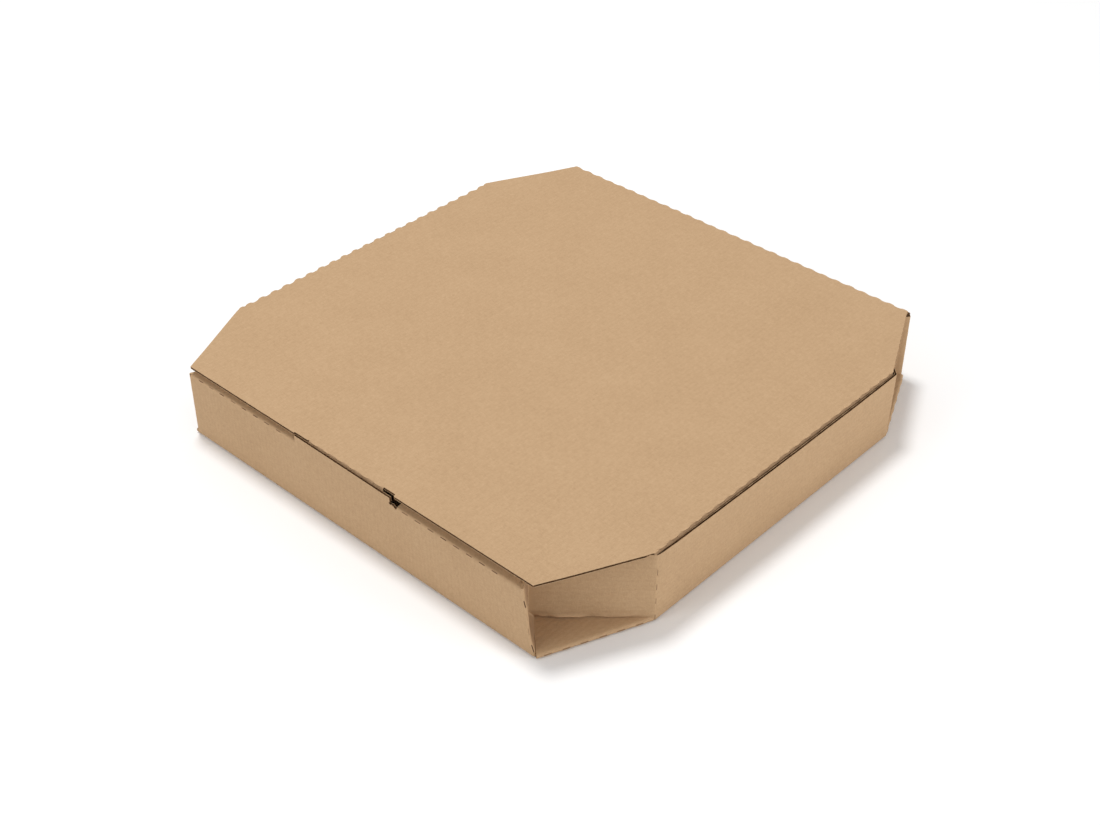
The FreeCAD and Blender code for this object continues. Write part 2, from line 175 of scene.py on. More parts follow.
# ------------------------------------------------------------------ folds with slits
def slit_line(a, b, cs=None, pitch=PITCH, step=2.4, seed=0, slit=SLIT, half=0.10):
    """Stations along a fold from a to b, and at each the slit mask g, the land-to-slit wave h and a random number."""
    r = np.random.default_rng(500 + seed)
    L = b - a
    if cs is None:
        n = int((L - slit) / pitch) + 1
        cs = [a + (L - (n - 1) * pitch) / 2 + i * pitch + r.uniform(-.25, .25) for i in range(n)]
    st = {round(a, 4), round(b, 4)}
    h2 = slit / 2
    for c in cs:
        for d in (-h2 - 0.9, -h2 - 0.12, -h2 + 0.08, -h2 * 0.45, 0, h2 * 0.45, h2 - 0.08, h2 + 0.12, h2 + 0.9):
            if a < c + d < b:
                st.add(round(c + d, 4))
        if a < c + pitch / 2 < b:
            st.add(round(c + pitch / 2, 4))
    st = sorted(st)
    out = [st[0]]
    for s in st[1:]:
        gap = s - out[-1]
        if gap > step * 1.6:
            k = int(math.ceil(gap / step))
            out += [out[-1] + gap * i / k for i in range(1, k)]
        out.append(s)
    s = np.array(out)
    g = np.zeros(len(s))
    h = np.zeros(len(s))
    ran = np.zeros(len(s))
    for c in cs:
        d = np.abs(s - c)
        q = r.uniform(0.55, 1.0)
        w = r.uniform(-1, 1)
        g = np.maximum(g, q * (1 - sstep(d, h2 - 0.09, h2 + 0.1)))
        h = np.maximum(h, (1 - sstep(d, h2 * 0.5, h2 + 2.0)))
        ran = np.where(d < pitch / 2, w, ran)
    return s, g, h, ran


ANG = np.array([0, .16, .30, .37, .42, .5, .58, .63, .70, .84, 1.0])   # rows across a fold, groove at the middle
ANG_IN = np.array([0, .5, 1.0])


def slerp(n1, n2, q):
    n1 = np.asarray(n1, float)
    n2 = np.asarray(n2, float)
    dot = np.clip((n1 * n2).sum(-1, keepdims=True), -1, 1)
    th = np.arccos(dot)
    s = np.sin(th)
    s = np.where(s < 1e-6, 1, s)
    return (np.sin((1 - q) * th) * n1 + np.sin(q * th) * n2) / s


def fold_rows(C, n1, n2, rad, g, h, ran, qs=ANG, depth=1.25, push=0.3, sharp=0.22, fade=None, square=0.0):
    """Outer surface of a fold: rows over the bend, columns along it."""
    rows = []
    if square:
        return square_rows(C, n1, n2, rad, g, h, ran, qs, push, square)
    bis = slerp(n1, n2, 0.5)
    f = 1.0 if fade is None else fade
    for q in qs:
        d = slerp(n1, n2, q)
        b = math.sin(math.pi * q) ** 2
        k = rad * (1 + (sharp * h + 0.05 * ran * h) * b)
        e = -push * (1 - h) * b + 0.06 * ran * b
        if abs(q - 0.5) < 1e-6:
            k = k - depth * g
        rows.append(C + d * (k * f + rad * (1 - f))[:, None] + bis * (e * f)[:, None])
    return np.array(rows)


def square_rows(C, n1, n2, rad, g, h, ran, qs, push, square):
    """At a slit the upper panel runs on flat to its cut edge and the flap's cut edge lies below and behind it."""
    rows = []
    bis = slerp(n1, n2, 0.5)
    for q in qs:
        a = q * math.pi / 2
        d = slerp(n1, n2, q)
        b = math.sin(math.pi * q) ** 2
        sq = 1 / max(math.cos(a), math.sin(a))
        if q <= 0.505:
            k = rad * (1 + (sq - 1) * square * h)
            p = C + d * k[:, None] + n2 * (0.35 * h * (q / 0.5) ** 2 * (1 + 0.3 * ran))[:, None]
        else:
            k = rad * (1 + (sq - 1) * 0.25 * h)
            back = 0.75 * g * (1 - (q - 0.5) / 0.5) ** 0.5
            p = C + d * (k - back)[:, None]
        rows.append(p - bis * (push * (1 - h) * b)[:, None])
    return np.array(rows)


def square_marks(qs, g, h):
    # marks Y below the cut line is painted shade: the band under the fold is darkened as if in shadow, most at the
    # slits
    mk = np.zeros((len(qs), len(g), 2))
    for i, q in enumerate(qs):
        if q <= 0.505:
            mk[i, :, 0] = 0.5 * q * h
        elif q < 0.72:
            mk[i, :, 1] = 0.35 * g + 0.42
        else:
            mk[i, :, 1] = 0.35
    return mk


def fold_marks(qs, g, h):
    mk = np.zeros((len(qs), len(g), 2))
    for i, q in enumerate(qs):
        b = math.sin(math.pi * q)
        mk[i, :, 0] = b * (0.45 + 0.55 * h)
        # marks Y: painted shade, near-black in the slit openings
        mk[i, :, 1] = g * (1.0 if abs(q - .5) < .01 else (0.85 if abs(q - .5) < .09 else 0.0))
    return mk


# ------------------------------------------------------------------ raw edges: two liners and the wave between them
def raw_edge(bd, core, A, B, D, u, parallel=False, depth=2.6, uv=None, rough=0.06, phase=0.0, seed=0, plain=False):
    """A, B: edge of the outer and inner face. D: unit vectors into the board. u: distance across the flutes."""
    A, B, D = (np.asarray(q, float) for q in (A, B, D))
    if plain:
        uvl = np.stack([np.asarray(u, float), 0 * np.asarray(u, float)], 1) if uv is None else np.asarray(uv, float)
        bd.grid([A, B], [uvl, uvl + [0.3, 1.7]], RIM)
        return
    u = np.asarray(u, float)
    n = len(A)
    r = np.random.default_rng(900 + seed)
    th = np.linalg.norm(B - A, axis=1)[:, None]
    X = (B - A) / np.maximum(th, 1e-6)
    jit = np.abs(r.normal(0, rough, (n, 1)))
    jit2 = np.abs(r.normal(0, rough, (n, 1)))
    jit[0] = jit[-1] = jit2[0] = jit2[-1] = 0
    A0 = A + X * LINER + D * jit
    B0 = B - X * LINER + D * jit2
    A1, B1 = A0 + D * depth, B0 + D * depth
    uvl = np.stack([u, np.zeros(n)], 1) if uv is None else np.asarray(uv, float)
    z2 = np.zeros((2, n, 2))
    bd.grid([A, A0], [uvl, uvl + [0.3, 0.3]], RIM, z2)
    bd.grid([A0, A1], [uvl, uvl + [0.3, 2.6]], CORE, z2)
    bd.grid([A1, B1], [uvl + [0, 2.6], uvl + [0, 4.0]], CORE, z2)
    bd.grid([B1, B0], [uvl + [0, 4.0], uvl + [0, 6.6]], CORE, z2)
    bd.grid([B0, B], [uvl, uvl + [0.3, 0.3]], RIM, z2)
    # the end openings of the channel
    for k in (0, n - 1):
        bd.add([A[k], A0[k], A1[k], B1[k], B0[k], B[k]], [(0, 1, 2, 3, 4, 5)], [uvl[k]] * 6, [[0, 0]] * 6, CORE)
    # the wave
    seg = np.linalg.norm(np.diff((A + B) / 2, axis=0), axis=1)
    s = np.concatenate([[0], np.cumsum(seg)])
    if s[-1] < 0.5:
        return
    du = np.abs(np.diff(u))
    if parallel:
        m = max(2, int(s[-1] / 4))
        ss = np.linspace(0.15, s[-1] - 0.15, m)
        off = 0.42 * np.sin(ss / 37.0 + phase) * 0.6
        inset = 0.55 + 0.25 * np.sin(ss / 9.0 + phase)
    else:
        tot = du.sum()
        m = max(3, int(max(tot / FLUTE * 12, s[-1] / 2.0)))
        ss = np.linspace(0.1, s[-1] - 0.1, m)
        uu = np.interp(ss, s, u)
        amp = T / 2 - LINER - 0.10
        off = amp * np.sin(2 * math.pi * uu / FLUTE + phase) * (1 + 0.0 * uu)
        inset = 0.10 + 0.10 * np.abs(np.sin(uu * 1.7 + phase))

    def at(Q):
        return np.stack([np.interp(ss, s, Q[:, k]) for k in range(3)], 1)

    Xc, Dc, Mc = at(X), at(D), at((A + B) / 2)
    Xc /= np.linalg.norm(Xc, axis=1)[:, None]
    Dc /= np.linalg.norm(Dc, axis=1)[:, None]
    ctr = Mc + Xc * off[:, None]
    tan = np.gradient(ctr, axis=0)
    tan /= np.maximum(np.linalg.norm(tan, axis=1)[:, None], 1e-9)
    nrm = np.cross(Dc, tan)
    nrm /= np.maximum(np.linalg.norm(nrm, axis=1)[:, None], 1e-9)
    w = 0.085
    p = [ctr + nrm * w + Dc * inset[:, None], ctr - nrm * w + Dc * inset[:, None],
         ctr - nrm * w + Dc * (depth - 0.1), ctr + nrm * w + Dc * (depth - 0.1)]
    ring = np.array([p[0], p[1], p[2], p[3], p[0]])
    uvr = np.zeros((5, len(ss), 2))
    uvr[:, :, 0] = ss
    uvr[:, :, 1] = np.array([0, .2, 2.6, 2.8, 5.4])[:, None]
    core.grid(ring, uvr, 0)
    core.add([q[0] for q in p], [(0, 1, 2, 3)], [[0, 0]] * 4, [[0, 0]] * 4, 0)
    core.add([q[-1] for q in p], [(0, 1, 2, 3)], [[0, 0]] * 4, [[0, 0]] * 4, 0)


def resample(P, step):
    P = np.asarray(P, float)
    d = np.linalg.norm(P[1] - P[0])
    n = max(1, int(math.ceil(d / step)))
    return [P[0] + (P[1] - P[0]) * i / n for i in range(n)]


def no_slivers(F, co):
    """Swaps the long edge of every needle-thin triangle with its neighbour's diagonal."""
    F = [list(f) for f in F]
    for _ in range(12):
        own = {}
        for k, f in enumerate(F):
            for i in range(3):
                own.setdefault(frozenset((f[i], f[(i + 1) % 3])), []).append(k)
        done, n = set(), 0
        for k, f in enumerate(F):
            if k in done:
                continue
            p = co[f]
            e = [np.linalg.norm(p[(i + 1) % 3] - p[i]) for i in range(3)]
            i = int(np.argmax(e))
            area = abs((p[1][0] - p[0][0]) * (p[2][1] - p[0][1]) - (p[1][1] - p[0][1]) * (p[2][0] - p[0][0]))
            if area > 0.02 * e[i] ** 2:
                continue
            a_, b_, c_ = f[i], f[(i + 1) % 3], f[(i + 2) % 3]
            pair = own[frozenset((a_, b_))]
            if len(pair) != 2:
                continue
            o = pair[0] if pair[1] == k else pair[1]
            if o in done or o == k:
                continue
            d_ = [v for v in F[o] if v not in (a_, b_)]
            if len(d_) != 1 or d_[0] == c_ or frozenset((c_, d_[0])) in own:
                continue
            F[k], F[o] = [a_, d_[0], c_], [d_[0], b_, c_]
            done |= {k, o}
            n += 1
        if not n:
            break
    return F


def panel(bd, loops, step, lift, mat, uvf, extra=None, mkf=None, seed=0):
    """A flat panel: the first loop is its outline, the others are holes. lift(x, y) gives the 3-D points."""
    r = np.random.default_rng(40 + seed)
    pts, faces = [], []
    for lp in loops:
        n0 = len(pts)
        pts += [tuple(p[:2]) for p in lp]
        faces.append(list(range(n0, n0 + len(lp))))
    b = np.array(pts)
    lo, hi = b.min(0), b.max(0)
    nx, ny = int((hi[0] - lo[0]) / step) + 1, int((hi[1] - lo[1]) / step) + 1
    poly = np.array([p[:2] for p in loops[0]])
    inner = []
    for i in range(1, nx):
        for j in range(1, ny):
            p = lo + (hi - lo) * [i / nx, j / ny] + r.uniform(-.16, .16, 2) * step
            inner.append(p)
    inner = np.array(inner) if inner else np.zeros((0, 2))

    def inside(P, Q):
        c = np.zeros(len(P), bool)
        m = len(Q)
        for k in range(m):
            x0, y0 = Q[k]
            x1, y1 = Q[(k + 1) % m]
            cond = ((y0 > P[:, 1]) != (y1 > P[:, 1]))
            with np.errstate(divide="ignore", invalid="ignore"):
                xs = (x1 - x0) * (P[:, 1] - y0) / (y1 - y0) + x0
            c ^= cond & (P[:, 0] < xs)
        return c

    if len(inner):
        keep = inside(inner, poly)
        for lp in loops[1:]:
            keep &= ~inside(inner, np.array([p[:2] for p in lp]))
        inner = inner[keep]
        # keep clear of the outline
        edge = b
        d = np.min(np.linalg.norm(inner[:, None, :] - edge[None, ::1, :], axis=2), axis=1) if len(inner) else []
        inner = inner[np.asarray(d) > step * 0.35]
    allp = [Vector((float(x), float(y))) for x, y in pts] + [Vector((float(x), float(y))) for x, y in inner]
    ring = [(f[i], f[(i + 1) % len(f)]) for f in faces for i in range(len(f))]
    res = delaunay_2d_cdt(allp, ring, [], 0, 1e-7, True)
    vo, fo, orig = res[0], res[2], res[3]
    co = np.array([[v.x, v.y] for v in vo])
    for k, o in enumerate(orig):
        if o:
            co[k] = [allp[o[0]].x, allp[o[0]].y]
            if o[0] < len(pts):
                co[k] = pts[o[0]]
    F = [list(f) for f in fo]
    cen = np.array([co[f].mean(0) for f in F])
    ok = inside(cen, poly)
    for lp in loops[1:]:
        ok &= ~inside(cen, np.array([p[:2] for p in lp]))
    area = np.array([abs(np.cross(co[f[1]] - co[f[0]], co[f[2]] - co[f[0]])) for f in F])
    F = [f for f, q, w in zip(F, ok, area) if q and w > 1e-6]
    F = no_slivers(F, co)
    P3 = lift(co[:, 0], co[:, 1])
    mk = np.zeros((len(co), 2)) if mkf is None else mkf(co[:, 0], co[:, 1])
    bd.add(P3, F, uvf(co[:, 0], co[:, 1]), mk, mat)


# ================================================================== tray outline at any height
def corner_reach(a, b, ra, rb, side):
    dx, dy = b[0] - a[0], b[1] - a[1]
    n = math.hypot(dx, dy)
    dx, dy = dx / n, dy / n
    s = (ra * ra - rb * rb + n * n) / (2 * n)
    h = math.sqrt(max(ra * ra - s * s, 0.0))
    return (a[0] + s * dx - side * h * dy, a[1] + s * dy + side * h * dx)


def outline(sxf, sxr, lean_x, lean_y):
    px = SIDE_X - CX
    fl, fr = (-px, FRONT_Y), (px - lean_x, FRONT_Y + lean_y)
    rr, rl = (px, REAR_Y), (-px, REAR_Y)
    fr1, rr1 = (sxf, FRONT_FOLD_Y), (sxr, REAR_FOLD_Y)
    rl1, fl1 = (-sxr, REAR_FOLD_Y), (-sxf, FRONT_FOLD_Y)
    wf, df = WEB_X, FRONT_FOLD_Y - FRONT_Y
    wr, dr = WEB_X, REAR_Y - REAR_FOLD_Y
    return np.array([fl, fr, corner_reach(fr, fr1, wf, df, 1), fr1, rr1, corner_reach(rr, rr1, wr, dr, -1),
                     rr, rl, corner_reach(rl, rl1, wr, dr, 1), rl1, fl1, corner_reach(fl, fl1, wf, df, -1)])


LOW = outline(SIDE_X, SIDE_X, 0, 0)
HIGH = outline(TOP_FRONT_X, TOP_REAR_X, LEAN_X, LEAN_Y)
CONVEX = [True, True, False, True, True, False, True, True, False, True, True, False]
RHO = np.array([(1.1 if j in (0, 1, 6, 7) else R) if c else -0.5 for j, c in enumerate(CONVEX)])


def lean_curve(z):
    """How far the pushed-in front right fold has moved, from the floor up: it gives way most near the floor and near two thirds of the height."""
    return np.interp(z, [0, 2, 8.2, 12, 18.7, 25.7, 31.3, 35.9, 42, 50], [0, .06, .28, .40, .54, .62, .69, .86, .95, 1.0])


M_Z = [0, 3.2, 8.4, 18.7, 31.3, 42.0, 51.6]
M_XY = np.array([(130.1, -160.1), (129.9, -159.9), (128.4, -163.9), (127.1, -162.5), (126.3, -161.6), (125.2, -160.4), (124.9, -160.0)])


def polygon(z):
    t = z / Z_TOP
    P = LOW + (HIGH - LOW) * t
    P[1] = LOW[1] + (HIGH[1] - LOW[1]) * np.array([lean_curve(z), t])
    P[2] = [np.interp(z, M_Z, M_XY[:, 0]), np.interp(z, M_Z, M_XY[:, 1])]
    return P


def frames(z):
    """Fold centres and wall normals (outward) of the outline at height z."""
    P = polygon(z)
    n = len(P)
    e = np.roll(P, -1, 0) - P
    e /= np.linalg.norm(e, axis=1)[:, None]
    out = np.stack([e[:, 1], -e[:, 0]], 1)       # outward normal of the edge after each corner
    C = np.zeros_like(P)
    for j in range(n):
        a, b = out[j - 1], out[j]
        m = a + b
        C[j] = P[j] - m * (RHO[j] / (1 + a @ b))
    return C, out


def bow_at(j, y, z):
    if j not in (3, 9):
        return np.zeros_like(np.asarray(y, float))
    o = np.interp(y, [-114.5, -108, -103, -96, -60, -20, 10, 40, 80, 104, 119], [0, .35, .6, .75, .95, 1.15, 1.2, 1.0, .75, .45, 0])
    w = 0.12 * noise2(y, 0 * np.asarray(y), 38, 3)
    return (o + w * np.clip((y + 114) / 20, 0, 1) * np.clip((119 - y) / 20, 0, 1)) * np.clip(z / Z_TOP, 0, 1) ** 1.2


# stations round the tray: ("v", corner, q) or ("e", edge, fraction)
def ring_stations(edges_from, edge_steps):
    pass


def ring_point(st, z, delta, groove=0.0, push=0.0, C=None, out=None):
    if C is None:
        C, out = frames(z)
    kind, j, q = st
    if kind == "v":
        a, b = out[j - 1], out[j]
        d = slerp(a, b, q)
        rho = RHO[j]
        if CONVEX[j] and rho - delta < 0:
            m = a + b
            return C[j] + m * ((rho - delta) / (1 + a @ b)), d
        p = C[j] + d * (rho - delta - groove)
        return p, d
    n = out[j]
    k = (j + 1) % 12
    a = C[j] + n * (RHO[j] - delta)
    b = C[k] + n * (RHO[k] - delta)
    p = a + (b - a) * q
    p = p + n * bow_at(j, p[1], z)
    return p, n


VSLITS = {1: [(5.6, 1.0), (16.2, .25), (26.0, .15), (34.6, 1.0)], 3: [(2.9, 1.0), (15.4, .6), (26.0, .75), (37.0, .8)]}
VPLAIN = [(3.7, .9), (14.4, .7), (25.2, .8), (36.2, .8)]
VS = 2.1


def vmask(z, j):
    g = 0.0
    for c, a in VSLITS.get(j, VPLAIN):
        g = max(g, a * (1 - float(sstep(abs(z - c), VS - 0.12, VS + 0.12))))
    return g


ZROWS = [R, 2.6, 3.4, 3.9, 4.6, 5.4, 6.2, 7.2, 8.4, 10.2]
for c in sorted({c for v in VSLITS.values() for c, _ in v} | {c for c, _ in VPLAIN}):
    ZROWS += [c - VS - 0.12, c - VS + 0.12, c, c + VS - 0.12, c + VS + 0.12]
ZROWS += [20.0, 30.8, 41.5, 43.0, 45.2, 46.4, 47.2, 48.6, 49.6, 50.2]
ZROWS = sorted(set(round(z, 3) for z in ZROWS if z >= R))
tidy = [ZROWS[0]]
for z in ZROWS[1:]:
    if z - tidy[-1] > 0.13:
        tidy.append(z)
ZROWS = np.array(tidy)

VQ = [0, .2, .34, .42, .5, .58, .66, .8, 1.0]


def edge_list(j, n):
    return [("e", j, i / n) for i in range(1, n)]


def corner_list(j):
    if CONVEX[j]:
        return [("v", j, q) for q in VQ]
    return [("v", j, q) for q in (0, .25, .5, .75, 1.0)]


# the run of stations from the front right fold, round the back, to the front left fold
RUN = []
counts = {1: 12, 2: 26, 3: 66, 4: 24, 5: 12, 6: 60, 7: 12, 8: 24, 9: 66, 10: 26, 11: 12}
RUN += [("v", 1, q) for q in VQ]
for j in range(1, 12):
    if j > 1:
        RUN += corner_list(j)
    RUN += edge_list(j, counts[j])
RUN += [("v", 0, q) for q in VQ]

TOPZ = []
for st in RUN:
    k, j, q = st
    if k == "e":
        z = {1: 45.6, 11: 47.8, 6: 51.1}.get(j, SIDE_TOP_Z)
    else:
        z = {1: 44.9, 0: 47.2, 6: 50.6, 7: 50.6, 2: 49.0, 11: 49.0}.get(j, SIDE_TOP_Z)
    TOPZ.append(z)
TOPZ = np.array(TOPZ)


def web_marks(st, z):
    """Crumpled band along the foot of the turned-in end of the side wall."""
    k, j, q = st
    if k == "e" and j in (2, 4, 8, 10):
        f = q if j in (2, 8) else 1 - q       # 0 at the inner crease, 1 at the side wall
        return f
    return None


def ring_array(zrows, delta, bottom=None):
    """Points for all stations of RUN at the given heights."""
    out = np.zeros((len(zrows), len(RUN), 3))
    mk = np.zeros((len(zrows), len(RUN), 2))
    for r_, z in enumerate(zrows):
        C, o = frames(z)
        dl = delta if bottom is None else delta + bottom[r_]
        gms = {j_: vmask(z, j_) for j_ in (0, 1, 3, 4, 6, 7, 9, 10)}
        for i, st in enumerate(RUN):
            zz = min(z, TOPZ[i])
            CC, oo = (C, o) if zz == z else frames(zz)
            groove = 0.0
            k, j, q = st
            gm = gms.get(j, 0.0) if k == "v" else 0.0
            if k == "v" and CONVEX[j] and delta == 0 and bottom is None and abs(q - 0.5) < .01:
                groove = (0.8 if RHO[j] < 1.5 else 1.15) * gm
            if k == "v" and CONVEX[j] and bottom is None:
                # lands are crushed in a little
                b = math.sin(math.pi * q)
                groove += (0.16 if RHO[j] > 1.5 else 0.06) * (1 - gm) * b if delta == 0 else 0
                # marks: scuffed land (X) and painted shade in the slit openings (Y)
                mk[r_, i] = (b * (0.35 + 0.5 * gm), gm if abs(q - .5) < .01 else (0.85 * gm if abs(q - .5) < .09 else 0)) if delta == 0 else (0, 0)
            p, n = ring_point(st, zz, dl, groove, C=CC, out=oo)
            x, y = p
            # crumple at the foot of the webs: the end of the wall overhangs its crease and its liner has buckled
            f = web_marks(st, z)
            if f is not None and bottom is None and zz > 2.7:
                s_mm = f * 68.0
                big = 1.0 if j == 2 else 0.45
                ridge = 5.6 + 0.5 * float(noise2(s_mm, 0.0, 12, 3)) - 1.6 * f
                up = math.exp(-(max(0.0, zz - ridge) / (2.6 - 1.2 * f)) ** 2)
                low = float(sstep(zz, 3.3, max(3.9, ridge)))
                taper = (1 - f) ** 0.9
                d = 1.9 * up * low * taper
                d += 1.15 * float(noise2(s_mm, zz * 2.2, 4.2, 2)) * up * low * (1 - f) ** 0.6
                d += 0.9 * math.exp(-((s_mm - 14) / 4.5) ** 2 - ((zz - 7.2) / 2.0) ** 2)
                d += 0.5 * math.exp(-((s_mm - 25) / 4.0) ** 2 - ((zz - 4.6) / 1.0) ** 2)
                d *= big * min(1.0, f * 9) * min(1.0, (1 - f) * 18)
                x, y = x + n[0] * d, y + n[1] * d
                if delta == 0:
                    # painted highlight on the upper side of the buckled ridge (marks X) and painted shade in the crease
                    # under it and under the ridge (marks Y)
                    ruck_highlight = 0.5 + 0.9 * float(noise2(s_mm, zz * 2.2, 4.2, 2))
                    mk[r_, i, 0] = max(mk[r_, i, 0], 1.3 * up * low * (1 - f * 0.7) * max(0.2, ruck_highlight))
                    under = math.exp(-((zz - 3.4) / 0.8) ** 2) + 0.5 * math.exp(-((zz - ridge - 3.4 * (1 - f)) / 0.7) ** 2)
                    mk[r_, i, 1] = max(mk[r_, i, 1], 0.42 * big * under * (1 - f) ** 0.6)
            # the narrow web at the front corner sits deep in its pocket: painted shade darkens it
            if k == "e" and j == 1 and delta == 0:
                mk[r_, i, 1] = max(mk[r_, i, 1], 0.40 * math.sin(math.pi * q) ** 0.4)
            # broad waviness of the panels
            if k == "e":
                amp = {1: 0.25, 2: 0.5, 3: 0.0, 4: 0.5, 5: .25, 6: 0.35, 7: .25, 8: .5, 9: 0.0, 10: .5, 11: .25}[j]
                edge = math.sin(math.pi * q) ** 0.7
                w = amp * float(noise2(q * 90 + j * 31, zz, 28, 4)) * edge
                if j == 6:
                    w = -abs(w)
                x, y = x + n[0] * w, y + n[1] * w
            out[r_, i] = (x, y, zz)
    return out, mk


# ================================================================== materials
def nodes_of(name):
    m = bpy.data.materials.new(name)
    m.use_nodes = True
    nt = m.node_tree
    nt.nodes.clear()
    return m, nt


class N:
    def __init__(self, nt):
        self.nt = nt

    def node(self, kind, **kw):
        n = self.nt.nodes.new(kind)
        for k, v in kw.items():
            setattr(n, k, v)
        return n

    def link(self, a, b):
        self.nt.links.new(a, b)

    def math(self, op, a, b=None, clamp=False):
        n = self.node("ShaderNodeMath", operation=op, use_clamp=clamp)
        for i, v in enumerate((a, b)):
            if v is None:
                continue
            if isinstance(v, (int, float)):
                n.inputs[i].default_value = v
            else:
                self.link(v, n.inputs[i])
        return n.outputs[0]

    def noise(self, vec, scale, detail=3.0, rough=0.5, dist=0.0):
        n = self.node("ShaderNodeTexNoise")
        n.inputs["Scale"].default_value = scale
        n.inputs["Detail"].default_value = detail
        n.inputs["Roughness"].default_value = rough
        n.inputs["Distortion"].default_value = dist
        self.link(vec, n.inputs["Vector"])
        return n.outputs["Fac"]

    def mapping(self, vec, scale=(1, 1, 1), rot=0.0, loc=(0, 0, 0)):
        n = self.node("ShaderNodeMapping")
        n.inputs["Scale"].default_value = scale
        n.inputs["Rotation"].default_value = (0, 0, rot)
        n.inputs["Location"].default_value = loc
        self.link(vec, n.inputs["Vector"])
        return n.outputs["Vector"]

    def ramp(self, fac, stops):
        n = self.node("ShaderNodeValToRGB")
        el = n.color_ramp.elements
        while len(el) > 1:
            el.remove(el[-1])
        el[0].position, el[0].color = stops[0][0], (*stops[0][1], 1)
        for p, c in stops[1:]:
            e = el.new(p)
            e.color = (*c, 1)
        self.link(fac, n.inputs["Fac"])
        return n.outputs["Color"]

    def mix(self, fac, a, b, blend="MIX"):
        n = self.node("ShaderNodeMix", data_type="RGBA", blend_type=blend)
        if isinstance(fac, (int, float)):
            n.inputs[0].default_value = fac
        else:
            self.link(fac, n.inputs[0])
        for v, s in ((a, n.inputs[6]), (b, n.inputs[7])):
            if isinstance(v, tuple):
                s.default_value = (*v, 1)
            else:
                self.link(v, s)
        return n.outputs[2]


def grey(v):
    return (v, v, v)


